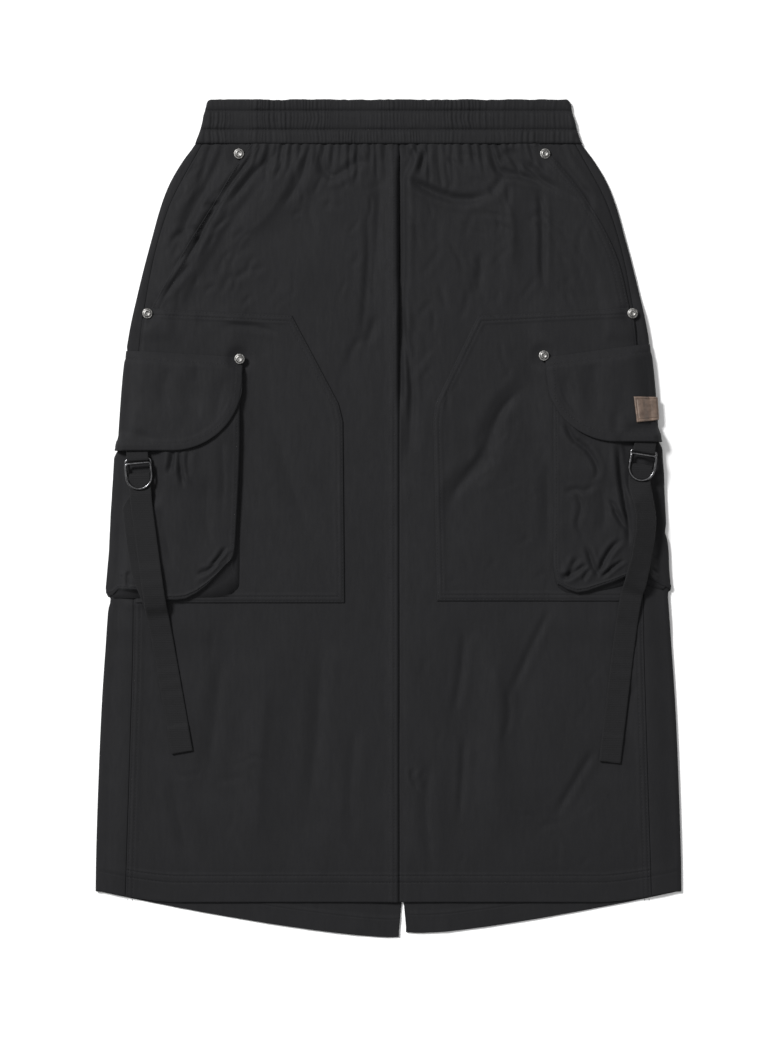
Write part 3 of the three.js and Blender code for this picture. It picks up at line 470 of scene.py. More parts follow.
def patch_top(side, x):
    """The patch's upper edge climbs a little towards the side."""
    top, inner = side.patch[0]
    return top - PATCH_RISE * np.clip((x - inner) / 130, 0, 1)


def panel_start(side):
    return SEAM_GAP / 2 + side.sign * CENTRE_SEAM_X


def panel_end(side, down):
    seam = seam_x(down)
    return np.where(down < MOUTH_END, np.minimum(mouth_x(side, down), seam), seam) - SEAM_GAP / 2


def front_hem(x):
    return FRONT_HEM - FRONT_HEM_RISE * np.clip((np.abs(x) - 190) / 74, 0, 1) ** 1.5


def back_hem(x):
    vent_step = np.where(x > VENT_X, VENT_STEP * np.exp(-(x - VENT_X) / 20), 0)
    return BACK_HEM - BACK_HEM_RISE * (np.abs(x) / 264) ** 1.35 - vent_step


def plateau(value, low, high):
    """1 between two values and a margin either side, falling to 0 beyond."""
    rise = smooth((value - (low - LIFT_MARGIN - LIFT_RAMP)) / LIFT_RAMP)
    return rise * smooth((high + LIFT_MARGIN + LIFT_RAMP - value) / LIFT_RAMP)


def lift(side, x, down):
    """How far the body is raised over the pocket and the flap where they are folded under it."""
    edge = half_width(down) - FLAP_WRAP - LIFT_MARGIN
    across = smooth((x - (edge - LIFT_RAMP)) / LIFT_RAMP)
    pocket = plateau(down, side.flap_top_outer, side.pocket_bottom)
    flap = plateau(down, side.flap_top_outer, side.flap_bottom)
    return LAYER * across * (pocket + flap)


def large_folds(x, down):
    rise = np.zeros(np.broadcast(x, down).shape)
    for x1, down1, x2, down2, width, height in FOLDS:
        dx, dd = x2 - x1, down2 - down1
        t = np.clip(((x - x1) * dx + (down - down1) * dd) / (dx * dx + dd * dd), 0, 1)
        rise = rise + height * bell(np.hypot(x - x1 - t * dx, down - down1 - t * dd), width)
    return rise


def calm(side, x, down, room=15, ramp=14):
    """0 at the rings and rivets, where the cloth keeps the solids' height, and 1 away from them."""
    away = np.hypot(x - side.tab_x, np.maximum(np.abs(down - side.tab_down - 10) - 12, 0))
    free = smooth((away - room) / ramp)
    for spot_x, spot_down in side.rivets.values():
        free = free * smooth((np.hypot(x - spot_x, down - spot_down) - 5) / 9)
    return free


LOFT = 1.9
BROAD_WAVE = 0.45
CRINKLE = {"left": 0.06, "right": 0.1}


def fine_form(side, x, down):
    """Creases, gathers, crinkle and loft of the front cloth beyond the solids' own folds."""
    signed = side.sign * x
    gather = crease_rise(GATHERS[side.name] + CRUMPLES[side.name], signed, down)
    near_band = 1 - smooth((down - PANEL_TOP) / 34)
    loft = LOFT * smooth((down - PANEL_TOP) / 40) * smooth((FRONT_HEM - down) / 60 + 0.15)
    wave = BROAD_WAVE * noise(signed, down, 52, 88, 5) * smooth((down - PANEL_TOP) / 50)
    crinkle = noise(signed, down, 5.5, 26, 11) + 0.6 * noise(signed, down, 2.9, 11, 12)
    crinkle = crinkle + 0.8 * near_band * noise(signed, down, 3.1, 16, 13)
    creases = crease_rise(PANEL_CREASES, signed, down)
    return gather + loft + wave + CRINKLE[side.name] * crinkle + creases


def centre_step(signed, down):
    """The left panel's edge stands up along the centre-front seam and the right one is drawn in beside it."""
    along = smooth((down - PANEL_TOP) / 14) * (0.25 + 0.75 * smooth((300 - down) / 110))
    along = along * (1 + 0.3 * noise(down, 0, 23, 9, 14))
    raised = 2.3 * bell(signed - CENTRE_SEAM_X + 3.5, 5)
    sunk = -2.2 * bell(signed - CENTRE_SEAM_X - 2.6, 3.2)
    return along * np.where(signed < CENTRE_SEAM_X, raised, sunk)


def back_rise(side, x, down):
    """Low unevenness of the back where nothing is folded under it. It only goes up from the surface."""
    signed = side.sign * x
    free = 1 - smooth(lift(side, x, down) / 0.2)
    free = free * smooth((fold_start(down) - 12 - x) / 30)
    form = 0.35 + 0.5 * noise(signed, down, 46, 110, 21) + 0.22 * noise(signed, down, 9, 40, 22)
    gather = np.exp(-(down - PANEL_TOP) / 22) * (0.5 + 0.5 * noise(signed, down, 4.2, 60, 23))
    return free * np.clip(form + 0.9 * gather, 0, 1.1)


def body_top(side, x, down):
    """Height of the front cloth's top."""
    signed = side.sign * x
    start = fold_start(down)
    off_side = smooth((start - 6 - x) / 30)
    off_mouth = smooth((mouth_x(side, down) - MOUTH_UNDERLAP - 7 - x) / 14)
    off_mouth = np.where(down < MOUTH_END + 8, off_mouth, 1)
    free = calm(side, x, down)
    gather = (1 - free) * np.exp(-(down - PANEL_TOP) / 24) * np.sin(2 * np.pi * (signed - CENTRE_SEAM_X) / 13)
    soft = np.minimum(off_side, off_mouth) * np.clip(large_folds(signed, down) + gather, -1.6, 1.6)
    fine = free * smooth((start - 1 - x) / 16) * fine_form(side, x, down)
    fine = fine + centre_step(signed, down)
    base = 2 * CLOTH + lift(side, x, down)
    return np.maximum(base + AIR + soft + fine, base + 0.2 + back_rise(side, x, down))


FLAP_TUCK = 2.4
POCKET_BULGE = 1.8


def fold_reach(side, down):
    """Reach of the side fold: drawn in under the flap, and standing out where the pocket bulges below it."""
    tucked = smooth((down - side.flap_top_outer + 4) / 10) * smooth((side.flap_bottom + 3 - down) / 6)
    bulged = smooth((down - side.flap_bottom - 1) / 6) * smooth((side.pocket_bottom - down) / 10)
    notch = 1.6 * bell(down - side.notch, 5) + 0.5 * noise(down, side.sign * 40, 17, 9, 15) * bulged
    return FOLD_REACH - FLAP_TUCK * tucked + POCKET_BULGE * bulged - notch


def skin(side, s, down, out):
    """Points at a distance outside the body. s runs from mid front, round the fold, to the back."""
    s, down, out = np.broadcast_arrays(*(np.asarray(v, float) for v in (s, down, out)))
    start = fold_start(down)
    past = s - start - FOLD_ARC
    on_back = past >= 0
    back_x = np.where(on_back, start - past, start)
    turn = np.clip((s - start) / FOLD_ARC, 0, 1) * np.pi
    reach = fold_reach(side, down)
    top = body_top(side, np.minimum(s, start), down)
    bottom = lift(side, back_x, down) + np.where(on_back, back_rise(side, back_x, down), 0)
    x = np.where(s <= start, s, np.where(on_back, back_x, start + (reach + out) * np.sin(turn)))
    z = np.maximum((top + bottom) / 2 + ((top - bottom) / 2 + out) * np.cos(turn), 0)
    return np.stack([side.sign * x, LENGTH / 2 - down, z], axis=-1)


# Heights of what lies on the body, measured out from it
def mouth_rise(side, x, down):
    across = smooth((x - (mouth_x(side, down) - MOUTH_UNDERLAP - 14)) / 10)
    return LAYER * across * smooth((MOUTH_END + 24 - down) / 12)


def patch_cover(x, down):
    seam = seam_x(down)
    return 1 - smooth((x - seam) / (fold_start(down) - seam))


def fold_turn(s, down):
    """Where the side fold starts, and how far round it a point is, from 0 on the front to 1 on the back."""
    start = fold_start(down)
    return start, np.clip((s - start) / FOLD_ARC, 0, 1)


POCKET_LOFT = 2.3


def loft_under_flap(down):
    return smooth((down - 262) / 32)


def pocket_base(side, s, down):
    """Inner height of the pocket."""
    start, turn = fold_turn(s, down)
    x = np.minimum(s, start)
    across = smooth((x - side.pocket_inner + 2) / 5) * smooth((start - x) / 11)
    along = smooth((down - POCKET_TOP) / 14) * smooth((side.pocket_bottom + 2 - down) / 5.5)
    free = calm(side, x, down, 13, 12)
    puff = POCKET_PUFF + POCKET_LOFT * free * loft_under_flap(down)
    bumps = 0.35 * noise(side.sign * x, down, 21, 34, 41) + 0.16 * noise(side.sign * x, down, 5, 14, 42)
    bumps = bumps + crease_rise(POCKET_CREASES[side.name], side.sign * x, down)
    height = SEAM_GAP + LAYER * patch_cover(x, down) + puff * across * along
    height = height + free * np.clip(across * 1.6, 0, 1) * along**0.5 * bumps * (1 - turn) ** 2
    return np.where(s > start, SEAM_GAP + (height - SEAM_GAP) * np.clip(1 - 3 * turn, 0, 1),
                    np.maximum(height, SEAM_GAP + LAYER * patch_cover(x, down)))


def tab_bulge(side, x):
    return smooth((29 - np.abs(x - side.tab_x)) / 14)


def ring_base(side):
    """The height that the ring assembly stands on: the solids keep it, so it is read from the upper ring."""
    low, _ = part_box(f"d_ring_{side.name}_upper")
    return low.z / MM - (WIRE_HEIGHT - WIRE_RADIUS * math.sin(math.radians(60)))


UNDER_WEBBING = SEAM_GAP + WEBBING / 2
LOOP_RADIUS = WIRE_RADIUS + SEAM_GAP + WEBBING / 2
WIRE_HEIGHT = UNDER_WEBBING + LOOP_RADIUS
OVER_WEBBING = WIRE_HEIGHT + LOOP_RADIUS
LOWER_RING_HEIGHT = OVER_WEBBING + WEBBING / 2 + SEAM_GAP + WIRE_RADIUS


def flap_top(side, s, down):
    start = fold_start(down)
    t = np.clip((np.minimum(s, start) - side.flap_inner) / (start - side.flap_inner), 0, 1)
    return mix(side.flap_top_inner, side.flap_top_outer, t)


def flap_travel(side, s, down):
    """Travel along the flap from its inner end, and the whole travel."""
    start, turn = fold_turn(s, down)
    arc = np.pi * (FOLD_REACH + 2)
    travel = np.minimum(s, start) - side.flap_inner + arc * turn + np.maximum(s - start - FOLD_ARC, 0)
    return travel, start - side.flap_inner + arc + FLAP_WRAP - FOLD_REACH


def flap_bottom(side, travel, total):
    t = 1 - np.clip(np.minimum(travel, total - travel) / FLAP_CORNER, 0, 1)
    return side.flap_bottom - FLAP_CORNER * (1 - np.sqrt(1 - t * t))


def flap_base(side, s, down):
    """Inner height of the flap, which clears the pocket under it and stands off at the webbing tab."""
    start, turn = fold_turn(s, down)
    x = np.minimum(s, start)
    settled = smooth((down - flap_top(side, s, down)) / FLAP_SETTLE)
    flat = SEAM_GAP + LAYER * settled
    over_x = np.maximum(x, side.pocket_inner + 12)
    over = np.clip(down, POCKET_TOP + 14, side.pocket_bottom - 20)
    pocket = SEAM_GAP + LAYER * patch_cover(over_x, over) + CLOTH
    loft = POCKET_LOFT * loft_under_flap(down) * calm(side, x, down, 13, 12)
    pocket = pocket + (POCKET_PUFF + loft) * smooth((start - over_x) / 11)
    under = pocket_base(side, np.minimum(s, start), down) + CLOTH + 0.3
    front = SEAM_GAP + LAYER * patch_cover(x, down) * (1 - settled)
    front = front + settled * (pocket + 0.6 * smooth((start - x) / 20))
    free = calm(side, x, down, 12, 12)
    curl = 1.3 * smooth((down - side.flap_bottom + 26) / 22) * smooth((start - x) / 30)
    bumps = crease_rise(FLAP_CREASES[side.name], side.sign * x, down)
    bumps = bumps + 0.22 * noise(side.sign * x, down, 16, 30, 51) + 0.1 * noise(side.sign * x, down, 4, 9, 52)
    front = front + free * settled * (curl + bumps * smooth((start - 4 - x) / 20))
    front = np.where((down > POCKET_TOP) & (x > side.pocket_inner), np.maximum(front, under), front)
    stand_off = smooth((down - (side.flap_bottom - 18)) / 14)
    place = np.where(s > start, start + FOLD_REACH * np.sin(turn * np.pi), x)
    needed = ring_base(side) + TAB_ROOM - body_top(side, np.minimum(place, start), down)
    height = np.where(s > start, flat, front)
    raised = height + stand_off * tab_bulge(side, place) * np.maximum(0, needed - height)
    height = np.where(s > start, mix(flat, raised, np.clip(1.1 - turn * 2.6, 0, 1)), raised)
    return np.where(turn >= 1, flat, height)


# Relief of sewn edges
def rim(distance, width=1.5, depth=0.85):
    """Drop of a turned edge, round towards the rim."""
    t = 1 - np.clip(distance / width, 0, 1)
    return -CLOTH * depth * (1 - np.sqrt(1 - t * t))


def stitched(distance, rows, along, allowance=None, depth=0.34, seed=61):
    """Relief of stitch rows at distances from an edge, puckered between, over a thicker allowance."""
    relief = sum(-depth * bell(distance - row, 0.75) for row in rows)
    middle, last = sum(rows) / len(rows), max(rows)
    pucker = 0.5 + 0.5 * noise(along, distance, 4.6, 9, seed)
    relief = relief + 0.3 * pucker * bell(distance - middle, max(0.45 * (last - min(rows)), 1.2))
    end = allowance or last + 2.5
    relief = relief + 0.38 * (1 - smooth((distance - end) / 1.6))
    return relief - 0.16 * pucker * bell(distance - end - 2, 2)


def front_out(side, x, down):
    """Outer height of the front panel over the body, with its sewn edges."""
    end = panel_end(side, down)
    from_centre = x - panel_start(side)
    from_edge = end - x
    from_hem = front_hem(x) - down
    relief = -0.8 * bell(from_centre, 0.9)
    if side.sign < 0:
        relief = relief + stitched(from_centre, (4.4, 8), down, 9.6, seed=62) * smooth(from_centre / 1.5)
    at_mouth = smooth((MOUTH_END - down) / 6)
    relief = relief + rim(from_edge, 1.6, mix(0.22, 0.95, at_mouth))
    covered = (down > patch_top(side, x) - 1) & (down < side.patch_bottom + 1)
    covered = covered & (x > patch_edge(side, down) - 1)
    relief = relief + np.where(covered, 0, stitched_edge(from_edge, down, at_mouth))
    relief = relief + rim(from_hem, 1.6, 0.9)
    relief = relief + stitched(from_hem, (18, 24), x, 25.5, seed=64)
    relief = relief - 0.3 * bell(down - PANEL_TOP, 1.3)
    return mouth_rise(side, x, down) + relief


def stitched_edge(from_edge, down, at_mouth):
    """The outer edge's two stitch rows, a little further apart at the pocket mouth."""
    seam = stitched(from_edge, (2, 6), down, seed=63)
    mouth = stitched(from_edge, (2, 7), down, seed=63)
    return mix(seam, mouth, at_mouth)


def patch_out(side, x, down):
    edge = patch_edge(side, down)
    (top, top_x), (bend, bend_x) = side.patch[:2]
    across = x - edge
    steep = np.where(down < bend, 1 / np.hypot(1, (top_x - bend_x) / (bend - top)), 1)
    distance = np.minimum(np.minimum(across * steep, side.patch_bottom - down), down - patch_top(side, x))
    relief = rim(distance, 1.5, 0.9) + stitched(distance, (1.5, 5.5), down + x, 7.4, seed=65)
    relief = relief - 0.6 * bell(seam_x(down) - 2 - x, 1)
    return mouth_rise(side, x, down) + SEAM_GAP + CLOTH + relief


def pocket_out(side, s, down):
    base = pocket_base(side, s, down)
    bottom = side.pocket_bottom - down
    inner = s - side.pocket_inner
    relief = rim(np.minimum(bottom, inner), 1.8, 0.9)
    relief = relief + stitched(np.minimum(inner, bottom), (2.2,), down + s, 3.6, seed=66)
    return base + CLOTH + relief


def edge_distance(line, s, down):
    """Distance from points to a line, in the plane of s and down."""
    return np.min([segment_gap(s, down, a, b)[1] for a, b in zip(line, line[1:])], axis=0)


FLAP_STITCH = {"left": 6.5, "right": 8}


def flap_line(side, inset=0, count=90):
    """The flap's free outline at an inset, as points of s and down."""
    start = fold_start(FLAP_MIDDLE)
    end = start + FOLD_ARC + FLAP_WRAP - FOLD_REACH
    s = np.linspace(side.flap_inner + inset, end - inset, count)
    travel, total = flap_travel(side, s, FLAP_MIDDLE)
    rows = flap_bottom(side, travel, total) - inset
    top = [(s[0], side.flap_top_inner), *zip(s, rows), (s[-1], side.flap_top_outer)]
    return np.array(top)


def flap_out(side, s, down):
    base = flap_base(side, s, down)
    away = edge_distance(flap_line(side), s, down)
    row = FLAP_STITCH[side.name]
    relief = rim(away, 1.6, 0.8) + stitched(away, (row,), s, row + 1.8, seed=67)
    top = down - flap_top(side, s, down)
    relief = relief - 0.5 * bell(top, 1.4) + 0.3 * bell(top - 4, 2.2) - 0.3 * bell(top - 7, 0.8)
    return base + CLOTH + relief


# Grids and meshes
EDGE_STEPS = np.array((0, 0.3, 0.8, 1.4, 2, 2.7, 3.5, 4.3, 5.1, 6, 7, 8.3, 10))


def spread(low, high, step, dense=(True, True)):
    """Places between two edges, close together near a dense edge. The edges may differ from row to row."""
    low, high = np.broadcast_arrays(np.atleast_1d(low).astype(float), np.atleast_1d(high).astype(float))
    scale = np.minimum(1, 0.45 * (high - low) / EDGE_STEPS[-1])[:, None]
    head = scale * (EDGE_STEPS if dense[0] else EDGE_STEPS[:1])
    tail = scale * (EDGE_STEPS[::-1] if dense[1] else EDGE_STEPS[:1])
    first, last = low[:, None] + head, high[:, None] - tail
    count = max(int(np.max(last[:, 0] - first[:, -1]) / step), 2)
    share = np.linspace(0, 1, count + 1)[1:-1]
    middle = mix(first[:, -1:], last[:, :1], share)
    return np.concatenate([first, middle, last], axis=1)


def mesh_object(name, points, faces, material):
    """A smooth-shaded object from points in millimetres."""
    mesh = bpy.data.meshes.new(name)
    mesh.from_pydata((np.asarray(points, float) * MM).tolist(), [], faces)
    mesh.validate()
    mesh.polygons.foreach_set("use_smooth", [True] * len(mesh.polygons))
    mesh.materials.append(material)
    thing = bpy.data.objects.new(name, mesh)
    bpy.context.scene.collection.objects.link(thing)
    return thing


def quads(rows, columns, first=0, looped=False):
    """Faces of a grid of points."""
    ids = first + np.arange(rows * columns).reshape(rows, columns)
    if looped:
        ids = np.hstack([ids, ids[:, :1]])
    return np.stack([ids[:-1, :-1], ids[1:, :-1], ids[1:, 1:], ids[:-1, 1:]], axis=-1).reshape(-1, 4)


def wall(name, outer, inner, material, looped=False):
    """A closed wall between two grids of points whose first and last rows have the same length."""
    rows, columns = outer.shape[:2]
    inner_rows = inner.shape[0]
    second = rows * columns
    a = np.arange(second).reshape(rows, columns)
    b = second + np.arange(inner_rows * columns).reshape(inner_rows, columns)
    faces = [quads(rows, columns, 0, looped), quads(inner_rows, columns, second, looped)[:, ::-1]]

    def strip(p, q):
        if looped and len(p) == columns:
            p, q = np.append(p, p[0]), np.append(q, q[0])
        faces.append(np.stack([p[:-1], p[1:], q[1:], q[:-1]], axis=-1))

    strip(a[0], b[0])
    strip(b[-1], a[-1])
    if not looped:
        strip(b[:, 0], a[:, 0])
        strip(a[:, -1], b[:, -1])
    points = np.vstack([outer.reshape(-1, 3), inner.reshape(-1, 3)])
    faces = np.vstack(faces)
    corner = points[faces]
    normal = np.cross(corner[:, 2] - corner[:, 0], corner[:, 3] - corner[:, 1])
    if np.sum(corner.mean(1) * normal) < 0:
        faces = faces[:, ::-1]
    return mesh_object(name, points, faces.tolist(), material)


def laid(name, side, s, down, outer, inner, material):
    """A closed wall on the body from grids of s and down and its outer and inner heights."""
    return wall(name, skin(side, s, down, outer), skin(side, s, down, inner), material)


def stand_for(thing, node):
    """Puts a piece in a node's place."""
    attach(thing, "root")
    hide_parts(node)
    return thing


# Cloth pieces
def declare(thing, node, area=None, with_pieces=()):
    """Puts a piece of cloth or webbing in the place of the node it stands for."""
    stand_for(thing, node)


def fold_offsets(count=12):
    return np.linspace(0, 1, count + 1)[1:-1]


def places(low, high, step, lines=(), finest=0.42):
    """Places from low to high, close together at both ends and near the lines."""
    found = [low]
    while found[-1] < high:
        near = min(abs(found[-1] + finest / 2 - line) for line in (low, high, *lines))
        found.append(found[-1] + min(max(finest, 0.36 * near), step))
    found = np.array(found)
    return low + (found - low) * (high - low) / (found[-1] - low)


HEM_ROWS = (18, 24)
BACK_HEM_ROW = 24


def front_panel(side, material):
    """From the centre-front seam to the pocket mouth and the side seam."""
    lines = [FRONT_HEM - row for row in HEM_ROWS]
    nominal = places(PANEL_TOP, FRONT_HEM, 2.2, lines)
    start = panel_start(side)
    x = spread(start, panel_end(side, nominal), 2.1)
    share = ((nominal - PANEL_TOP) / (FRONT_HEM - PANEL_TOP))[:, None]
    down = mix(PANEL_TOP, front_hem(x), share)
    width = panel_end(side, nominal)[:, None] - start
    x = start + (x - start) * (panel_end(side, down) - start) / width
    inner = mouth_rise(side, x, down) - CLOTH
    return laid(f"skirt_front_{side.name}", side, x, down, front_out(side, x, down), inner, material)


# Inside seams of the back: x and half width
INSIDE_SEAMS = ((-33, 4), (53.5, 4))


def inside_relief(side, x, down):
    """The back's turned hem and two inside seams, seen below the front hem."""
    signed = side.sign * x
    shown = smooth((down - front_hem(x) + 4) / 4)
    relief = stitched(back_hem(signed) - down, (BACK_HEM_ROW - 8,), x, BACK_HEM_ROW - 6, seed=71)
    for seam, width in INSIDE_SEAMS:
        relief = relief + 0.5 * smooth((width - np.abs(signed - seam)) / 1.2)
        relief = relief - 0.5 * bell(signed - seam, 0.9)
    return shown * relief


def back_panel(side, material):
    """From the side seam on the front, round the side fold, to the centre-back seam and vent."""
    nominal = places(PANEL_TOP, BACK_HEM, 4.3, (BACK_HEM - BACK_HEM_ROW + 8,))
    share = ((nominal - PANEL_TOP) / (BACK_HEM - PANEL_TOP))[:, None]
    vent = VENT_SPREAD * np.clip((nominal - FRONT_HEM + 5) / (BACK_HEM - FRONT_HEM), 0, 1)
    centre = (side.sign * VENT_X + SEAM_GAP / 2 + vent)[:, None]
    seam, start = seam_x(nominal) + SEAM_GAP / 2, fold_start(nominal)
    strip_share = np.array((0, 0.03, 0.08, 0.15, 0.25, 0.38, 0.5, 0.63, 0.75, 0.88, 1))
    strip_x = mix(seam[:, None], start[:, None], strip_share)
    strip_down = mix(PANEL_TOP, front_hem(strip_x), share)
    strip_s = mix(seam_x(strip_down) + SEAM_GAP / 2, fold_start(strip_down), strip_share)
    turn = fold_offsets()
    fold_hem = mix(front_hem(start)[:, None], back_hem(side.sign * start)[:, None], turn)
    fold_down = mix(PANEL_TOP, fold_hem, share)
    fold_s = fold_start(fold_down) + FOLD_ARC * turn
    run = start[:, None] - centre
    across = spread(0, run[:, 0], 4.2, (False, True)) / run
    back_x = start[:, None] - across * run
    back_down = mix(PANEL_TOP, back_hem(side.sign * back_x), share)
    back_s = fold_start(back_down) + FOLD_ARC + across * (fold_start(back_down) - centre)
    s = np.hstack([strip_s, fold_s, back_s])
    down = np.hstack([strip_down, fold_down, back_down])
    inner_x = np.where(s > fold_start(down) + FOLD_ARC, 2 * fold_start(down) + FOLD_ARC - s, s)
    on_back = smooth((s - fold_start(down) - FOLD_ARC) / 3)
    on_strip = 1 - smooth((s - fold_start(down)) / 5)
    from_hem = front_hem(np.minimum(s, fold_start(down))) - down
    hem = stitched(from_hem, HEM_ROWS, s, 25.5, seed=64) + rim(from_hem, 1.6, 0.7)
    outer = -0.25 * bell(s - seam_x(down), 1) - 0.5 * bell(down - PANEL_TOP, 1.3) * (1 - on_back)
    outer = outer + on_strip * hem
    inner = -CLOTH - on_back * inside_relief(side, inner_x, down)
    return laid(f"skirt_back_{side.name}", side, s, down, outer, inner, material)


def hip_facing(side, material):
    """The cloth behind the slant pocket mouth."""
    rows = places(PANEL_TOP, MOUTH_END - 4, 2.5)
    x = spread(mouth_x(side, rows) - MOUTH_UNDERLAP, seam_x(rows) - SEAM_GAP / 2, 2.4, (False, True))
    down = np.broadcast_to(rows[:, None], x.shape)
    outer = -0.5 * bell(seam_x(down) - x, 1) - 0.5 * bell(down - PANEL_TOP, 1.3)
    return laid(f"pocket_facing_{side.name}", side, x, down, outer, -CLOTH, material)


def thigh_patch(side, material):
    """The double-stitched patch on the front panel."""
    top = side.patch[0][0]
    rows = places(top, side.patch_bottom, 2.4, (top + 5.5, side.patch_bottom - 5.5))
    x = spread(patch_edge(side, rows), seam_x(rows) - 2, 2.3)
    share = ((rows - top) / (side.patch_bottom - top))[:, None]
    down = mix(patch_top(side, x), side.patch_bottom, share)
    inner = mouth_rise(side, x, down) + SEAM_GAP
    return laid(f"patch_{side.name}", side, x, down, patch_out(side, x, down), inner, material)


# Rolled edge of the bellows pocket: distance in from its edge, and share of its height there
ROLL = np.array(((0, 0), (0.4, 0.1), (0.7, 0.3), (0.2, 0.5), (-0.3, 0.72), (-0.1, 0.9), (0.7, 1),
                 (1.8, 1.02)))


def pocket_shift(side, s, down, share):
    """Where a point of the pocket goes when its face sags and folds in at the lower corners."""
    from_bottom = side.pocket_bottom - down
    up = np.interp(s, *zip(*side.sag)) * np.clip(1 - from_bottom / side.sag_reach, 0, 1) ** 1.6
    near_corner = np.clip(1 - (s - side.pocket_inner) / 45, 0, 1) ** 2
    inwards = np.interp(from_bottom, *zip(*side.turn_in)) * near_corner
    follow = side.gusset + (1 - side.gusset) * np.minimum(share * 1.25, 1) ** 0.3
    corner = np.clip(1 - from_bottom / 11, 0, 1) * np.clip(1 - (s - side.pocket_inner) / 11, 0, 1)
    tucked = 4.5 * corner**1.5 * (1 - follow)
    return s + inwards * follow + tucked, down - up * follow - tucked


def pocket_point(side, s, down, share=1.0, inner=False):
    """A point of the pocket's outer or inner surface from its place before it sags."""
    start = fold_start(down)
    inside, above = np.maximum(s, side.pocket_inner + 2.2), np.minimum(down, side.pocket_bottom - 2.2)
    full = pocket_out(side, inside, above)
    patch = SEAM_GAP + LAYER * patch_cover(np.minimum(s, start), down)
    low = np.where(s > start, SEAM_GAP, patch)
    outer = low + (full - low) * share
    at_s, at_down = pocket_shift(side, s, down, share)
    if not inner:
        return skin(side, at_s, at_down, outer)
    base = pocket_base(side, np.maximum(s, side.pocket_inner + 4), np.minimum(down, side.pocket_bottom - 4))
    height = np.minimum(np.maximum(low, base - 0.3), np.maximum(outer - 0.25, low * 0.5))
    return skin(side, at_s, at_down, height)


def cargo_pocket(side, material):
    """Puffed over the front with rolled edges, folded round the side and flat under the back."""
    roll_in, roll_share = ROLL.T
    middle = places(POCKET_TOP, side.pocket_bottom - 2.2, 1.5)
    rows = np.concatenate([middle, side.pocket_bottom - roll_in[::-1]])
    row_share = np.concatenate([np.ones(len(middle)), roll_share[::-1]])[:, None]
    across = spread(side.pocket_inner + 2.2, fold_start(rows), 1.4, (False, False))
    edge = np.broadcast_to(side.pocket_inner + roll_in, (len(rows), len(roll_in)))
    start = fold_start(rows)[:, None]
    back = start + FOLD_ARC + np.linspace(0, POCKET_WRAP - FOLD_REACH, 30)
    s = np.hstack([edge, across, start + FOLD_ARC * fold_offsets(), back])
    down = np.broadcast_to(rows[:, None], s.shape).copy()
    column_share = np.ones(s.shape[1])
    column_share[:len(roll_in)] = roll_share
    bottom_share = np.where(s > start, np.maximum(row_share, 0.9), row_share)
    share = np.where(s > start + FOLD_ARC, 1, column_share * bottom_share)
    outer = pocket_point(side, s, down, share)
    inner = pocket_point(side, s, down, share, inner=True)
    return wall(f"pocket_{side.name}", outer, inner, material)


def flap_grid(side):
    """Points of the flap: columns run from its inner end round the fold to its back end."""
    start = fold_start(FLAP_MIDDLE)
    front = spread(side.flap_inner, start, 1.9, (True, False))[0]
    back = start + FOLD_ARC + spread(0, FLAP_WRAP - FOLD_REACH, 2.2, (False, True))[0]
    columns = np.concatenate([front, start + FOLD_ARC * fold_offsets(), back])
    travel, total = flap_travel(side, columns, FLAP_MIDDLE)
    down = spread(flap_top(side, columns, FLAP_MIDDLE), flap_bottom(side, travel, total), 1.9).T
    shift = fold_start(down) - start
    s = columns + shift * np.clip((columns - side.flap_inner) / (start - side.flap_inner), 0, 1)
    return s, down


def cargo_flap(side, material):
    """Sewn above the pocket, with two round lower corners."""
    s, down = flap_grid(side)
    inner = flap_base(side, s, down)
    return laid(f"flap_{side.name}", side, s, down, flap_out(side, s, down), inner, material)


# The waistband
RIB_HEIGHT = 1.25
CHANNEL_PUFF = 1.1
BAND_COLUMN = 0.85


def rib_phase(x, down):
    """Counts ribs of uneven width along the band; a rib leans and shifts a little from row to row."""
    draw = np.random.RandomState(83)
    edges = np.cumsum(draw.uniform(2, 1.9 + 4.4 * draw.rand(260) ** 1.5 + 0.6))
    lean = 0.9 * noise(x, down, 17, 9, 84) + 0.7 * noise(x, down, 60, 14, 85)
    channel = np.searchsorted(BAND_SEAMS[1:-1], down)
    step = 0.7 * noise(x, channel * 7.3, 11, 3, 86)
    return np.interp(x + 400 + lean + step, edges, np.arange(len(edges)))


def band_form(x, down):
    """Height of the band's ribbed cloth over its flat casing."""
    phase = rib_phase(x, down)
    k = np.floor(phase).astype(int) % 256
    strength = np.random.RandomState(87).uniform(0.55, 1.1, 256)
    channel = np.searchsorted(BAND_SEAMS[1:-1], down)
    grouped = 0.75 + 0.75 * noise(x, channel * 9.1, 19, 3, 92) + 0.3 * noise(x, down, 7, 9, 93)
    rib = np.sin(np.pi * (phase % 1)) ** 0.75 * strength[k] * np.clip(grouped, 0.12, 1.4)
    away = np.min([np.abs(down - seam) for seam in BAND_SEAMS[1:-1]], axis=0)
    pinch = 1 - 0.72 * bell(away, 1.5)
    ends = smooth((down + 0.6) / 2.4) * smooth((BAND_HEIGHT - down + 1) / 3)
    channel = CHANNEL_PUFF * smooth(away / 5) * smooth((down + 2) / 5) * smooth((BAND_HEIGHT - down + 2) / 5)
    return channel * 0.7 + RIB_HEIGHT * rib * pinch * (0.35 + 0.65 * ends) - 0.5 * bell(away, 1)


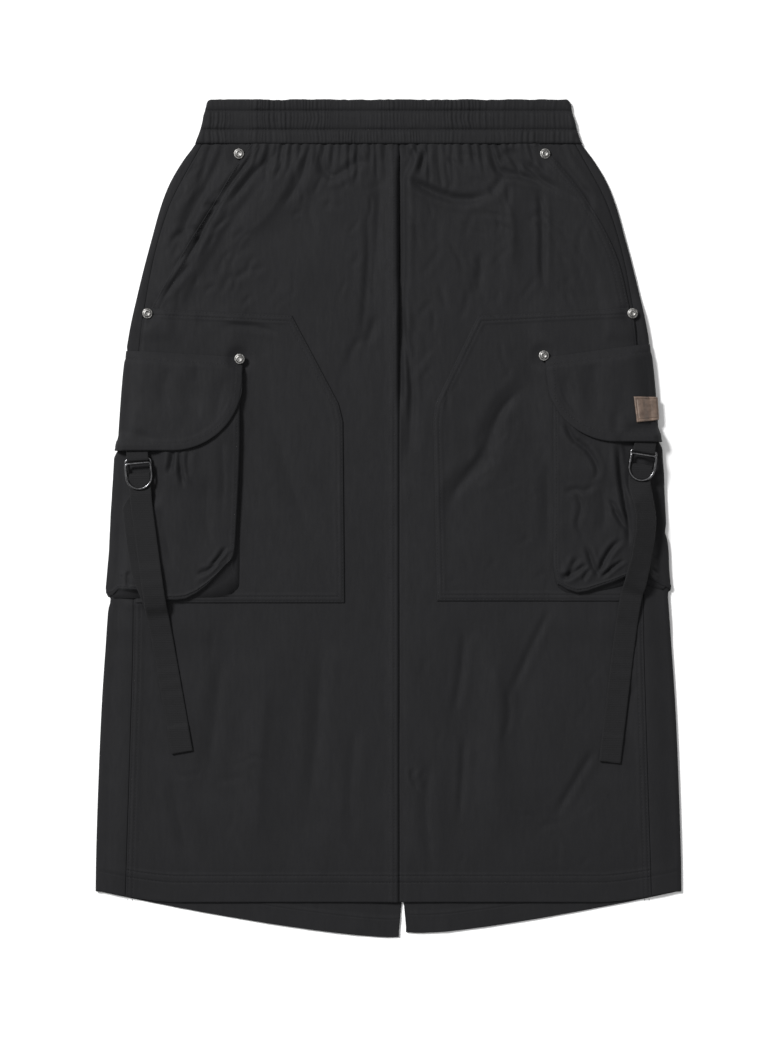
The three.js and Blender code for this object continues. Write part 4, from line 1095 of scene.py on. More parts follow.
def waistband(material):
    """A gathered elastic casing: ribbed on the front, with low ribs where it rests."""
    rows = places(0, BAND_HEIGHT, 1.4, BAND_SEAMS, 0.5)
    reach = FOLD_REACH - 1
    top = 2 * BAND_WALL + BAND_AIR
    outer, inner = [], []
    turns = np.linspace(0, np.pi, 15)[1:-1]
    for down in rows:
        start = half_width(down) - reach - 2.4 * (1 - min(down / 4, 1)) ** 2
        count = int(2 * 163.5 / BAND_COLUMN)
        x = np.linspace(-start, start, count)
        sunk = rim(down, 1.8, 1) + rim(BAND_HEIGHT - down, 1.5, 0.45)
        front_z = top + band_form(x, down) - 0.5 + sunk
        back_count = count // 2
        back_x = np.linspace(start, -start, back_count)
        back_z = 0.75 - np.minimum(0.55 * band_form(back_x + 700, down), 0.75) - sunk * 0.4
        edge = 0.35 * noise(np.array([start, -start]), down, 9, 5, 88)
        right = start + (reach + edge[0]) * np.sin(turns)
        left = -start - (reach + edge[1]) * np.sin(turns)
        mid_z = (front_z[-1] + back_z[0]) / 2, (front_z[0] + back_z[-1]) / 2
        half_z = (front_z[-1] - back_z[0]) / 2, (front_z[0] - back_z[-1]) / 2
        xs = np.concatenate([x, right, back_x, left[::-1]])
        zs = np.concatenate([front_z, mid_z[0] + half_z[0] * np.cos(turns), back_z,
                             mid_z[1] - half_z[1] * np.cos(turns)])
        wave = 0.45 * noise(xs, zs, 14, 30, 89) + 0.3 * noise(xs, zs, 4, 30, 90)
        ys = LENGTH / 2 - down - wave * (1 - smooth(down / 4)) - 0.25
        outer.append(np.stack([xs, np.minimum(ys, LENGTH / 2), zs], axis=-1))
        wall_in = BAND_WALL * 0.8
        low, high = wall_in + 0.4, top - wall_in - 0.4
        inner_z = np.concatenate([np.full(len(x), high), mix(high, low, (1 - np.cos(turns)) / 2),
                                  np.full(len(back_x), low), mix(low, high, (1 - np.cos(turns)) / 2)])
        inner_x = np.concatenate([x, start + (reach - wall_in) * np.sin(turns), back_x,
                                  -start - (reach - wall_in) * np.sin(turns)])
        inner.append(np.stack([inner_x, outer[-1][:, 1], inner_z], axis=-1))
    return wall("waistband_casing", np.array(outer), np.array([inner[0], inner[-1]]), material, looped=True)


# Webbing and hardware
def ring_point(side, across, along, height):
    """A point of the ring assembly: along runs down the strap, across to its right."""
    c, s = math.cos(math.radians(side.tilt)), math.sin(math.radians(side.tilt))
    x = side.sign * side.tab_x + c * across + s * along
    y = LENGTH / 2 - side.tab_down + s * across - c * along
    return np.stack(np.broadcast_arrays(x, y, ring_base(side) + height), axis=-1)


# Across a webbing: place from edge to edge, and share of its thickness there
WEBBING_SECTION = np.array(((-1, 0.4), (-0.97, 0.82), (-0.9, 1.08), (-0.8, 1), (-0.4, 0.97), (0, 1),
                            (0.4, 0.97), (0.8, 1), (0.9, 1.08), (0.97, 0.82), (1, 0.4)))


def webbing_piece(name, centre, across, thickness, material):
    """A webbing along centre points, with soft selvedges. across is its direction at each point."""
    run = np.gradient(centre, axis=0)
    run /= np.linalg.norm(run, axis=1)[:, None]
    across = across / np.linalg.norm(across, axis=1)[:, None]
    normal = np.cross(across, run)
    normal /= np.linalg.norm(normal, axis=1)[:, None]
    place, share = WEBBING_SECTION.T
    line = centre[:, None] + across[:, None] * (place * WEBBING_WIDTH / 2)[:, None]
    half = (np.asarray(thickness) / 2)[:, None, None] * share[:, None]
    return wall(name, line + normal[:, None] * half, line - normal[:, None] * half, material)


def ring_tab(side, material):
    """A loop of webbing that comes from under the flap, goes round the upper ring's bar and back."""
    hidden = UNDER_WEBBING + WEBBING + SEAM_GAP
    turn = np.radians(np.arange(0, 181, 10))
    along = np.concatenate([[-12, -9, -6, -3], LOOP_RADIUS * np.sin(turn), [-2, -4, -6, -9, -12]])
    height = np.concatenate([[UNDER_WEBBING] * 4, WIRE_HEIGHT - LOOP_RADIUS * np.cos(turn),
                             OVER_WEBBING - np.array((0.1, 0.5, 0.9)), [hidden + 0.3, hidden]])
    centre = ring_point(side, 0, along, height)
    across = np.broadcast_to(ring_point(side, 1, 0, 0) - ring_point(side, 0, 0, 0), centre.shape)
    return webbing_piece(f"tab_{side.name}", centre, across, np.full(len(centre), WEBBING), material)


def wire_loop(name, line, up, radius, material, sides=14):
    """A closed round wire along a flat loop of points."""
    run = np.roll(line, -1, axis=0) - np.roll(line, 1, axis=0)
    run /= np.linalg.norm(run, axis=1)[:, None]
    out = np.cross(run, up)
    angle = np.linspace(0, 2 * np.pi, sides, endpoint=False)
    points = line[:, None] + radius * (out[:, None] * np.cos(angle)[:, None] + up * np.sin(angle)[:, None])
    ids = np.arange(len(line) * sides).reshape(len(line), sides)
    after, beside = np.roll(ids, -1, axis=0), np.roll(ids, -1, axis=1)
    faces = np.stack([ids, after, np.roll(after, -1, axis=1), beside], axis=-1).reshape(-1, 4)
    return mesh_object(name, points.reshape(-1, 3), faces.tolist(), material)


def d_ring(side, which, material):
    """A straight bar, two short legs and a round end."""
    lower = which == "lower"
    corner = 2.4
    legs = RING_LENGTH - RING_HALF_WIDTH
    bend = np.radians(np.arange(0, 91, 15))
    arc = np.radians(np.arange(0, 181, 7.5))
    across = np.concatenate([
        np.linspace(-7, 7, 6),
        RING_HALF_WIDTH - corner + corner * np.sin(bend),
        RING_HALF_WIDTH * np.cos(arc),
        -RING_HALF_WIDTH + corner - corner * np.sin(bend[::-1]),
    ])
    along = np.concatenate([
        np.zeros(6), corner - corner * np.cos(bend), legs + RING_HALF_WIDTH * np.sin(arc),
        corner - corner * np.cos(bend[::-1]),
    ])
    shift, height = (RING_OFFSET, LOWER_RING_HEIGHT) if lower else (0, WIRE_HEIGHT)
    line = ring_point(side, across, along + shift, height)
    up = np.array((0, 0, 1.0))
    ring = wire_loop(f"ring_{which}_{side.name}", line, up, WIRE_RADIUS * RING_THICKER, material)
    return stand_for(ring, f"d_ring_{side.name}_{which}")


def pocket_edge(side, x):
    return side.pocket_bottom - np.interp(x, *zip(*side.sag))


def stack_top(side, x, down):
    """Highest surface at a place on the front: body, patch or pocket."""
    start = fold_start(down)
    inside = np.minimum(x, start)
    out = mouth_rise(side, inside, down)
    on_patch = (down > patch_top(side, x)) & (down < side.patch_bottom) & (x > patch_edge(side, down))
    out = np.where(on_patch, np.maximum(out, SEAM_GAP + CLOTH), out)
    on_pocket = (x > side.pocket_inner) & (down > POCKET_TOP) & (down < pocket_edge(side, x) + 1)
    held = np.clip(down, POCKET_TOP, side.pocket_bottom - 2.2)
    pocket = pocket_out(side, np.maximum(inside, side.pocket_inner + 2), held)
    return body_top(side, inside, down) + np.where(on_pocket, np.maximum(out, pocket), out)


def strap_run(side):
    """The strap's travel, centre line, direction across, height of what is under it, and twist."""
    start = ring_point(side, 0, RING_LENGTH + RING_OFFSET + 3, 0)[:2]
    knots = [tuple(start)] + [(x, LENGTH / 2 - down) for x, down in side.strap]
    line = curve(knots, 24)
    total = travelled(line)
    travel = np.arange(0, total[-1] + 0.5, 1.5)
    xy = np.stack([np.interp(travel, total, line[:, k]) for k in (0, 1)], axis=-1)
    way = np.gradient(xy, axis=0)
    way /= np.linalg.norm(way, axis=1)[:, None]
    across = np.stack([-way[:, 1], way[:, 0], np.zeros(len(way))], axis=-1)
    twist = side.twist * smooth(travel / 18) * smooth((100 - travel) / 34)
    samples = []
    for w in (-0.95, -0.5, 0, 0.5, 0.95):
        at = xy + across[:, :2] * w * WEBBING_WIDTH / 2
        samples.append(stack_top(side, np.abs(at[:, 0]), LENGTH / 2 - at[:, 1]))
    base = np.max(samples, axis=0)
    base = np.max([np.roll(np.pad(base, 6, mode="edge"), k)[6:-6] for k in range(-5, 6)], axis=0)
    kernel = bell(np.arange(-8, 9), 4)
    base = np.convolve(np.pad(base, 8, mode="edge"), kernel / kernel.sum(), mode="valid")
    near = np.maximum(base[0], ring_base(side))
    base = mix(near, base, smooth(travel / 40))
    return travel, xy, across, base, twist


UNDER_SHIFT = {"left": -8, "right": 0}
STRAP_RUMPLE = 0.34


def strap_rumple(travel):
    """Height of the small cross ripples in the webbing's free length."""
    along = travel / 1.75 + 2.3 * np.sin(travel / 21)
    strength = (0.55 + 0.45 * np.sin(travel / 13 + 1)) * smooth((travel - 25) / 25)
    strength = strength * smooth((travel[-1] - STRAP_HEM - 6 - travel) / 18)
    return STRAP_RUMPLE * strength * (0.5 + 0.5 * np.sin(along))


def strap(side, material):
    """Up behind both rings, over the upper ring and down behind the lower one, with a turned free end."""
    travel, xy, across, base, twist = strap_run(side)
    flat = np.array((ring_point(side, 1, 0, 0) - ring_point(side, 0, 0, 0)))
    folded = STRAP_FOLD + LOOP_RADIUS
    back = travel <= HIDDEN_STRAP
    shift = UNDER_SHIFT[side.name] * smooth(travel / 14) * smooth((HIDDEN_STRAP - travel) / 50)
    under = np.column_stack([xy + across[:, :2] * shift[:, None], base + UNDER_WEBBING])[back][::-1]
    turn = np.radians(np.arange(10, 171, 12))
    lead = ring_point(side, 0, np.linspace(RING_LENGTH + 2, folded + 1, 8), UNDER_WEBBING)
    loop = ring_point(side, 0, folded - LOOP_RADIUS * np.sin(turn), WIRE_HEIGHT - LOOP_RADIUS * np.cos(turn))
    over = ring_point(side, 0, np.linspace(folded + 1, RING_LENGTH + RING_OFFSET + 1, 10), OVER_WEBBING)
    over_under = 1 - smooth((travel - HIDDEN_STRAP - 6) / 14)
    low = UNDER_WEBBING + (WEBBING + SEAM_GAP) * over_under
    height = mix(OVER_WEBBING, low, smooth(travel / 30))
    hem = smooth((travel - travel[-1] + STRAP_HEM) / 1.5)
    thickness = WEBBING * (1 + 0.8 * hem)
    raised = np.abs(np.sin(twist)) * WEBBING_WIDTH / 2 + strap_rumple(travel)
    tail = np.column_stack([xy, base + height + raised + (thickness - WEBBING) / 2])[1:]
    turned = across * np.cos(twist)[:, None] + np.array((0, 0, 1)) * np.sin(twist)[:, None]
    centre = np.vstack([under, lead, loop, over, tail])
    directions = np.vstack([across[back][::-1], *[np.tile(flat, (len(p), 1)) for p in (lead, loop, over)],
                            turned[1:]])
    widths = np.concatenate([np.full(len(centre) - len(tail), WEBBING), thickness[1:]])
    return webbing_piece(f"webbing_strap_{side.name}", centre, directions, widths, material)


# Rivet cap: radius and height as shares of the cap's
RIVET_PROFILE = (
    (0, 0), (0.92, 0), (1, 0.12), (1, 0.26), (0.97, 0.4), (0.9, 0.5), (0.84, 0.53), (0.8, 0.5), (0.76, 0.55),
    (0.7, 0.75), (0.6, 0.93), (0.5, 1), (0.4, 0.96), (0.32, 0.82), (0.26, 0.74), (0.14, 0.72), (0, 0.74),
)


def rivet(side, spot, material):
    """A domed cap with a rolled rim and a centre dimple, on its node's place."""
    node = f"rivet_{spot}_{side.name}"
    low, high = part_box(node)
    x, y, z = (low.x + high.x) / 2 / MM, (low.y + high.y) / 2 / MM, low.z / MM
    around = 40
    angle = np.linspace(0, 2 * np.pi, around, endpoint=False)
    points, faces = [(x, y, z)], []
    for radius, height in RIVET_PROFILE[1:-1]:
        r, h = radius * RIVET_RADIUS, height * RIVET_HEIGHT
        points += [(x + r * math.cos(a), y + r * math.sin(a), z + h) for a in angle]
    points.append((x, y, z + RIVET_PROFILE[-1][1] * RIVET_HEIGHT))
    last = len(points) - 1
    rings = len(RIVET_PROFILE) - 2
    for j in range(around):
        k = (j + 1) % around
        faces.append((0, 1 + k, 1 + j))
        faces.append((last, last - around + j, last - around + k))
        for ring in range(rings - 1):
            a, b = 1 + ring * around, 1 + (ring + 1) * around
            faces.append((a + j, a + k, b + k, b + j))
    stand_for(mesh_object(f"rivet_cap_{spot}_{side.name}", points, faces, material), node)


LABEL_FRAME = 2.1


def leather_label(side, material):
    """Bare leather with a pressed frame line, curved round the side fold."""
    columns, rows = np.linspace(0, 1, 58), np.linspace(0, 1, 52)
    across, share = np.meshgrid(columns, rows)
    down = LABEL.down + share * (LABEL.height + LABEL.slant * (1 - across))
    start = fold_start(down)
    on_front = np.minimum(across / 0.65, 1)
    s = mix(LABEL.x + LABEL.slant * share, start, on_front)
    s = s + FOLD_ARC / 3 * np.maximum(across - 0.65, 0) / 0.35
    width = (start[0, 0] - LABEL.x) / 0.65
    inset = np.minimum(np.minimum(across, 1 - across) * width, np.minimum(share, 1 - share) * LABEL.height)
    relief = -0.7 * (1 - np.sqrt(1 - (1 - np.clip(inset / 1.1, 0, 1)) ** 2))
    relief = relief - 0.6 * bell(inset - LABEL_FRAME, 0.5) + 0.1 * noise(s, down, 3, 3, 91)
    inner = flap_out(side, s, down) + 0.15
    smooth_base = flap_base(side, s, down) + CLOTH + 0.35
    outer = np.maximum(smooth_base, inner) + LEATHER + relief
    stand_for(laid("leather_patch", side, s, down, outer, inner, material), "leather_label")


# Stitches
STITCH = SimpleNamespace(pitch=3.2, length=2.5, width=0.62, height=0.44)
STITCH_LOWEST = 0.28


def stitch_line(surface, line, pitch=STITCH.pitch):
    """Thread stitches along a line of s and down, on a surface that gives a point for each."""
    line = np.array(line, float)
    total = travelled(line)
    at = np.arange(pitch / 2, total[-1], pitch)
    if not len(at):
        return []
    middle = np.stack([np.interp(at, total, line[:, k]) for k in (0, 1)], axis=-1)
    ahead = np.stack([np.interp(np.minimum(at + 0.4, total[-1]), total, line[:, k]) for k in (0, 1)], axis=-1)
    behind = np.stack([np.interp(at - 0.4, total, line[:, k]) for k in (0, 1)], axis=-1)
    way = ahead - behind
    beside = middle + 0.4 * np.stack([-way[:, 1], way[:, 0]], axis=-1) / np.linalg.norm(way, axis=1)[:, None]
    centre, end, other = (surface(p[:, 0], p[:, 1]) for p in (middle, ahead, beside))
    along = (end - surface(behind[:, 0], behind[:, 1]))
    along /= np.linalg.norm(along, axis=1)[:, None]
    up = np.cross(along, other - centre)
    up /= np.linalg.norm(up, axis=1)[:, None]
    up *= np.where(np.sum(up * outward(centre), axis=1) < 0, -1, 1)[:, None]
    centre[:, 2] = np.maximum(centre[:, 2], STITCH_LOWEST)
    return [(centre, along, np.cross(up, along), up)]


def outward(points):
    """Roughly outwards on the laid skirt: up on its front, down under its back."""
    none = np.zeros(len(points))
    return np.stack([none, none, np.where(points[:, 2] > 1.5, 1, -1)], axis=-1)


def stitches(name, rows, material):
    """One mesh of all the stitches of some rows."""
    centre, along, across, up = (np.vstack([row[k] for group in rows for row in group]) for k in range(4))
    centre = centre + up * STITCH.height * 0.12
    corners = np.stack([
        centre - along * STITCH.length / 2, centre + along * STITCH.length / 2,
        centre - across * STITCH.width / 2, centre + across * STITCH.width / 2,
        centre - up * STITCH.height / 2, centre + up * STITCH.height / 2,
    ], axis=1)
    shape = np.array(((0, 3, 5), (3, 1, 5), (1, 2, 5), (2, 0, 5), (3, 0, 4), (1, 3, 4), (2, 1, 4), (0, 2, 4)))
    faces = (np.arange(len(centre))[:, None, None] * 6 + shape).reshape(-1, 3)
    thing = mesh_object(name, corners.reshape(-1, 3), faces.tolist(), material)
    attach(thing, "root")
    return thing


def front_stitches(side):
    """Rows at the centre seam, the pocket mouth, the side seam and the hem."""
    face = lambda s, down: skin(side, s, down, front_out(side, s, down))
    down = np.arange(PANEL_TOP + 1, FRONT_HEM - 1, 4.0)
    rows = []
    if side.sign < 0:
        for inset in (4.4, 8):
            x = np.full(len(down), panel_start(side) + inset)
            rows.append(stitch_line(face, np.column_stack([x, down])))
    upper = down[down < MOUTH_END - 1]
    for near, far in ((2, 2), (7, 6)):
        rows.append(stitch_line(face, np.column_stack([panel_end(side, upper) - near, upper])))
        lower = down[down > side.patch_bottom + 2]
        rows.append(stitch_line(face, np.column_stack([panel_end(side, lower) - far, lower])))
    for inset in HEM_ROWS:
        x = np.arange(panel_start(side) + 1, panel_end(side, FRONT_HEM) - 1, 4.0)
        rows.append(stitch_line(face, np.column_stack([x, front_hem(x) - inset])))
    return rows


def patch_stitches(side):
    face = lambda s, down: skin(side, s, down, patch_out(side, s, down))
    rows = []
    for inset in (1.5, 5.5):
        down = np.arange(side.patch[0][0] + inset, side.patch_bottom - inset + 0.1, 3.0)
        slope = np.gradient(patch_edge(side, down), down)
        x = patch_edge(side, down) + inset * np.hypot(1, slope)
        top_x = np.arange(x[0], 205.0, 4)[::-1]
        bottom_x = np.arange(x[-1], side.pocket_inner - 1.0, 4)
        line = np.vstack([
            np.column_stack([top_x, patch_top(side, top_x) + inset]), np.column_stack([x, down]),
            np.column_stack([bottom_x, np.full(len(bottom_x), side.patch_bottom - inset)]),
        ])
        rows.append(stitch_line(face, line))
    return rows


def pocket_stitches(side):
    face = lambda s, down: pocket_point(side, s, down)
    down = np.arange(side.flap_bottom - 40, side.pocket_bottom - 2.4, 3.0)
    x = np.arange(side.pocket_inner + 2.2, fold_start(440) - 2, 3.0)
    line = np.vstack([
        np.column_stack([np.full(len(down), side.pocket_inner + 2.4), down]),
        np.column_stack([x, np.full(len(x), side.pocket_bottom - 2.4)]),
    ])
    return [stitch_line(face, line)]


def flap_stitches(side):
    face = lambda s, down: skin(side, s, down, flap_out(side, s, down))
    line = flap_line(side, FLAP_STITCH[side.name], 160)
    s = np.linspace(side.flap_inner + 2, fold_start(FLAP_MIDDLE) + FOLD_ARC * 0.4, 60)
    top = np.column_stack([s, flap_top(side, s, FLAP_MIDDLE) + 7])
    return [stitch_line(face, line), stitch_line(face, top)]


def band_stitches():
    """Two rows along the band, on the gathered cloth."""
    rows = []
    for down in BAND_SEAMS[1:-1]:
        reach = half_width(down) - FOLD_REACH
        face = lambda x, along: np.stack(
            [x, LENGTH / 2 - along, 2 * BAND_WALL + BAND_AIR - 0.5 + band_form(x, along)], axis=-1)
        rows.append(stitch_line(face, np.array([(-reach, down), (reach, down)]), 2.9))
    return rows


# Materials
def new_material(name):
    made = bpy.data.materials.new(name)
    made.use_nodes = True
    return made, made.node_tree, made.node_tree.nodes["Principled BSDF"]


def add(tree, kind, inputs=None, **settings):
    """Adds a shader node with its settings, linked or set at its inputs."""
    made = tree.nodes.new("ShaderNode" + kind)
    for key, value in settings.items():
        setattr(made, key, value)
    for key, value in (inputs or {}).items():
        if isinstance(value, bpy.types.NodeSocket):
            tree.links.new(value, made.inputs[key])
        else:
            made.inputs[key].default_value = value
    return made


def set_inputs(tree, shader, values):
    for key, value in values.items():
        if isinstance(value, bpy.types.NodeSocket):
            tree.links.new(value, shader.inputs[key])
        else:
            shader.inputs[key].default_value = value


def place_on(tree, scale):
    """The object's own coordinates, stretched by that many cells to the metre."""
    coordinates = add(tree, "TexCoord")
    return add(tree, "Mapping", {"Vector": coordinates.outputs["Object"], "Scale": scale}).outputs["Vector"]


def noise_value(tree, scale, detail=3, roughness=0.55):
    return add(tree, "TexNoise", {"Vector": place_on(tree, scale), "Scale": 1, "Detail": detail,
                                  "Roughness": roughness}).outputs["Fac"]


def mixed_colour(tree, factor, low, high, spread_from=0.35, spread_to=0.65):
    ramp = add(tree, "MapRange", {"Value": factor, "From Min": spread_from, "From Max": spread_to})
    blend = add(tree, "Mix", {0: ramp.outputs["Result"], 6: (*low, 1), 7: (*high, 1)}, data_type="RGBA")
    return blend.outputs[2]


def ranged(tree, factor, low, high):
    return add(tree, "MapRange", {"Value": factor, "From Min": 0.3, "From Max": 0.7, "To Min": low,
                                  "To Max": high}).outputs["Result"]


def bumped(tree, *layers):
    """A normal from several heights, each with its distance in metres and strength."""
    normal = None
    for height, distance, strength in layers:
        inputs = {"Height": height, "Distance": distance, "Strength": strength}
        if normal is not None:
            inputs["Normal"] = normal
        normal = add(tree, "Bump", inputs).outputs["Normal"]
    return normal


def thread_waves(tree, pitch, direction):
    """Waves of threads at that pitch in metres."""
    wave = add(tree, "TexWave", {"Vector": place_on(tree, (1, 1, 1)), "Scale": 2 * math.pi / 20 / pitch,
                                 "Distortion": 1.5, "Detail": 1, "Detail Scale": 60},
               wave_type="BANDS", bands_direction=direction)
    return wave.outputs["Fac"]


def nylon(name, low, high, crinkle=0.16):
    """Matt dark nylon: uneven dye, fine vertical crinkle and a plain weave."""
    made, tree, shader = new_material(name)
    cloud = noise_value(tree, (42, 26, 42), 3)
    fleck = noise_value(tree, (900, 420, 900), 2)
    blend = add(tree, "Math", {0: cloud, 1: fleck}, operation="ADD")
    half = add(tree, "Math", {0: blend.outputs[0], 1: 0.5}, operation="MULTIPLY")
    streak = noise_value(tree, (340, 62, 340), 4, 0.6)
    fine = noise_value(tree, (1500, 900, 1500), 2)
    weave = [(thread_waves(tree, 0.0009, direction), 0.00005, 0.25) for direction in "XY"]
    normal = bumped(tree, *weave, (fine, 0.00012, 0.5), (streak, 0.0005, crinkle))
    set_inputs(tree, shader, {
        "Base Color": mixed_colour(tree, half.outputs[0], low, high),
        "Roughness": ranged(tree, streak, 0.74, 0.84),
        "Sheen Weight": 0.03, "Sheen Roughness": 0.5, "Sheen Tint": (0.8, 0.82, 0.86, 1),
        "Specular IOR Level": 0.16, "Normal": normal,
    })
    return made


def woven_webbing(name):
    """Dense narrow webbing: ribs across it and an uneven tone."""
    made, tree, shader = new_material(name)
    cloud = noise_value(tree, (160, 160, 160), 3)
    normal = bumped(
        tree, (thread_waves(tree, 0.0016, "Y"), 0.0002, 0.6), (thread_waves(tree, 0.0011, "X"), 0.0001, 0.4),
        (noise_value(tree, (1300, 1300, 1300), 2), 0.0001, 0.5))
    set_inputs(tree, shader, {
        "Base Color": mixed_colour(tree, cloud, (0.0072, 0.0072, 0.0078), (0.0094, 0.0094, 0.0102)),
        "Roughness": ranged(tree, cloud, 0.74, 0.86), "Sheen Weight": 0.03, "Sheen Roughness": 0.5,
        "Specular IOR Level": 0.16, "Normal": normal,
    })
    return made


def thread(name):
    made, tree, shader = new_material(name)
    cloud = noise_value(tree, (700, 700, 700), 2)
    set_inputs(tree, shader, {
        "Base Color": mixed_colour(tree, cloud, (0.014, 0.014, 0.015), (0.02, 0.02, 0.0215)),
        "Roughness": 0.7, "Specular IOR Level": 0.2,
        "Normal": bumped(tree, (noise_value(tree, (2600, 2600, 2600), 2), 0.0001, 0.5)),
    })
    return made


def ring_metal(name):
    """Dark polished metal with faint rub marks."""
    made, tree, shader = new_material(name)
    rub = noise_value(tree, (420, 420, 420), 4, 0.65)
    set_inputs(tree, shader, {
        "Base Color": mixed_colour(tree, rub, (0.06, 0.06, 0.063), (0.13, 0.13, 0.133)),
        "Metallic": 1, "Roughness": ranged(tree, rub, 0.14, 0.3),
        "Normal": bumped(tree, (rub, 0.00006, 0.35)),
    })
    return made


def antique_metal(name):
    """Old silver: an uneven patina, dark in some patches and rubbed bright in others."""
    made, tree, shader = new_material(name)
    patina = noise_value(tree, (700, 700, 700), 4, 0.6)
    grain = noise_value(tree, (2200, 2200, 2200), 2)
    set_inputs(tree, shader, {
        "Base Color": mixed_colour(tree, patina, (0.07, 0.068, 0.065), (0.3, 0.295, 0.285)),
        "Metallic": 1, "Roughness": ranged(tree, patina, 0.28, 0.5),
        "Normal": bumped(tree, (grain, 0.00012, 0.5), (patina, 0.0001, 0.4)),
    })
    return made


def brown_leather(name):
    """Tanned leather: pebbled grain and uneven tan."""
    made, tree, shader = new_material(name)
    cloud = noise_value(tree, (190, 190, 190), 4)
    pebbles = add(tree, "TexVoronoi", {"Vector": place_on(tree, (1400, 1400, 1400)), "Scale": 1})
    grain = pebbles.outputs["Distance"]
    set_inputs(tree, shader, {
        "Base Color": mixed_colour(tree, cloud, (0.083, 0.056, 0.042), (0.155, 0.108, 0.082)),
        "Roughness": ranged(tree, cloud, 0.5, 0.68),
        "Normal": bumped(tree, (grain, 0.00016, 0.5), (cloud, 0.0002, 0.4)),
    })
    return made


def pale_floor(name):
    made, tree, shader = new_material(name)
    cloud = noise_value(tree, (3, 3, 3), 2)
    set_inputs(tree, shader, {
        "Base Color": mixed_colour(tree, cloud, (0.9, 0.9, 0.9), (0.92, 0.92, 0.92)), "Roughness": 0.9,
        "Specular IOR Level": 0.1,
    })
    return made


# The camera looks straight down, with the photograph's framing
PHOTO = SimpleNamespace(width=780, height=1040, scale=0.9)
VIEW_CENTRE = (1.35, -1.6)
FOCAL = 85
SENSOR = 36
MEAN_HEIGHT = 6


def camera():
    data = bpy.data.cameras.new("camera")
    data.lens, data.sensor_width, data.sensor_fit = FOCAL, SENSOR, "AUTO"
    made = bpy.data.objects.new("camera", data)
    distance = FOCAL * PHOTO.height * PHOTO.scale / SENSOR
    made.location = (VIEW_CENTRE[0] * MM, VIEW_CENTRE[1] * MM, (distance + MEAN_HEIGHT) * MM)
    bpy.context.scene.collection.objects.link(made)
    bpy.context.scene.camera = made


FLOOR_HALF = 25000
WORLD_STRENGTH = 0.34


def area_light(name, location, size, power):
    """A round light in metres and watts that aims at the middle of the skirt."""
    data = bpy.data.lights.new(name, "AREA")
    data.shape, data.size, data.energy = "DISK", size, power
    made = bpy.data.objects.new(name, data)
    bpy.context.scene.collection.objects.link(made)
    made.location = location
    made.rotation_euler = Vector(location).to_track_quat("Z", "Y").to_euler()


def studio():
    """A soft key from the upper left, a wide fill from above, a pale world and a near-white floor."""
    area_light("key", (-3.4, 3.0, 5), size=1.65, power=610)
    area_light("fill", (0.3, -0.2, 3.4), size=3, power=22)
    world = bpy.data.worlds.new("studio")
    world.use_nodes = True
    world.node_tree.nodes["Background"].inputs["Color"].default_value = (1, 1, 1, 1)
    world.node_tree.nodes["Background"].inputs["Strength"].default_value = WORLD_STRENGTH
    bpy.context.scene.world = world
    half = FLOOR_HALF
    floor = mesh_object("floor", [(-half, -half, -0.3), (half, -half, -0.3), (half, half, -0.3),
                                  (-half, half, -0.3)], [(0, 1, 2, 3)], pale_floor("floor_paint"))
    floor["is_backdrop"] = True
    bpy.context.scene.view_settings.view_transform = "Standard"
    bpy.context.scene.view_settings.look = "None"


# Flat areas of the panels, in square metres
BACK_MEAN_HEM = 734


def panel_area(top, bottom, inner, outer):
    """Flat area in square metres between two edges, each a function of down."""
    down = np.linspace(top, bottom, 60)
    return float(np.trapz(outer(down) - inner(down), down)) * MM * MM


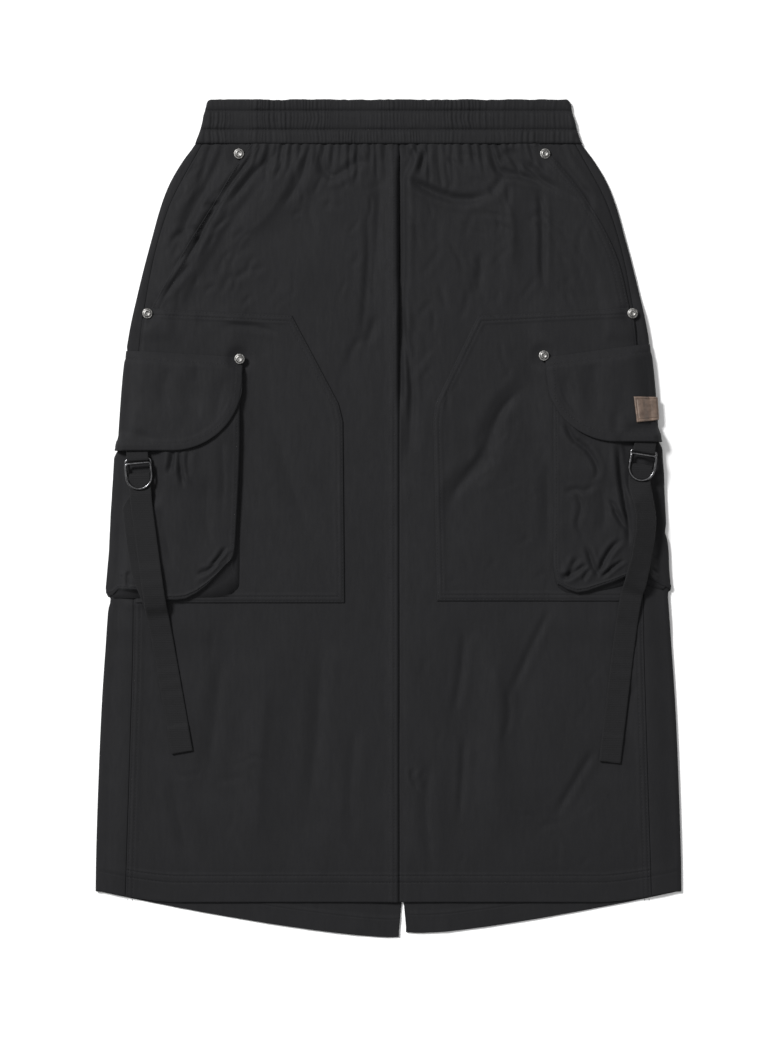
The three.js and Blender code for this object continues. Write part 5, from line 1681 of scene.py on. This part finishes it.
def dress(side, cloth, facing_cloth, webbing, thread_finish, rings):
    """All the cloth, webbing and rings of one side."""
    name = side.name
    centre = lambda down: panel_start(side) + 0 * down
    around = lambda down: 2 * fold_start(down) + FOLD_ARC - side.sign * VENT_X
    under = lambda down: mouth_x(side, down) - MOUTH_UNDERLAP
    end = lambda down: panel_end(side, down)
    inner_edge = lambda down: patch_edge(side, down)
    sewn = lambda piece, rows: [stitches(f"{piece}_stitches_{name}", rows(side), thread_finish)]
    back = back_panel(side, cloth)
    declare(back, f"back_{name}",
            panel_area(PANEL_TOP, BACK_MEAN_HEM, seam_x, around))
    facing = hip_facing(side, facing_cloth)
    declare(facing, f"hip_facing_{name}",
            panel_area(PANEL_TOP, MOUTH_END - 4, under, seam_x))
    front = front_panel(side, cloth)
    declare(front, f"front_{name}",
            panel_area(PANEL_TOP, FRONT_HEM - 3, centre, end), sewn("front", front_stitches))
    patch = thigh_patch(side, cloth)
    declare(patch, f"thigh_patch_{name}",
            panel_area(side.patch[0][0], side.patch_bottom, inner_edge, seam_x), sewn("patch", patch_stitches))
    pocket = cargo_pocket(side, cloth)
    declare(pocket, f"cargo_pocket_{name}",
            None, sewn("pocket", pocket_stitches))
    flap = cargo_flap(side, cloth)
    declare(flap, f"cargo_flap_{name}",
            None, sewn("flap", flap_stitches))
    tab = ring_tab(side, webbing)
    upper, lower = d_ring(side, "upper", rings), d_ring(side, "lower", rings)
    declare(tab, f"ring_tab_{name}", None, [upper, lower])
    webbing_strap = strap(side, webbing)
    length = HIDDEN_STRAP + 2 * STRAP_FOLD + strap_run(side)[0][-1]
    declare(webbing_strap, f"strap_{name}")


def build():
    camera()
    cloth = nylon("skirt_nylon", (0.0079, 0.0079, 0.0087), (0.0097, 0.0097, 0.0107))
    facing_cloth = nylon("facing_nylon", (0.0077, 0.0077, 0.0085), (0.0095, 0.0095, 0.0104))
    band_cloth = nylon("waistband_nylon", (0.0078, 0.0078, 0.0086), (0.0098, 0.0098, 0.0107), 0.12)
    webbing = woven_webbing("strap_webbing")
    thread_finish = thread("black_thread")
    rings = ring_metal("bright_nickel")
    old_silver = antique_metal("antique_silver")
    band = waistband(band_cloth)
    band_rows = stitches("waistband_stitches", band_stitches(), thread_finish)
    declare(band, "waistband", None, [band_rows])
    for side in SIDES:
        dress(side, cloth, facing_cloth, webbing, thread_finish, rings)
        for spot in side.rivets:
            rivet(side, spot, old_silver)
    leather_label(RIGHT, brown_leather("brown_leather"))
    studio()


build()
size = {
    "cad": [list(corner) for corner in CAD_BOX],
    "visual": [list(corner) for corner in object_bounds()],
}
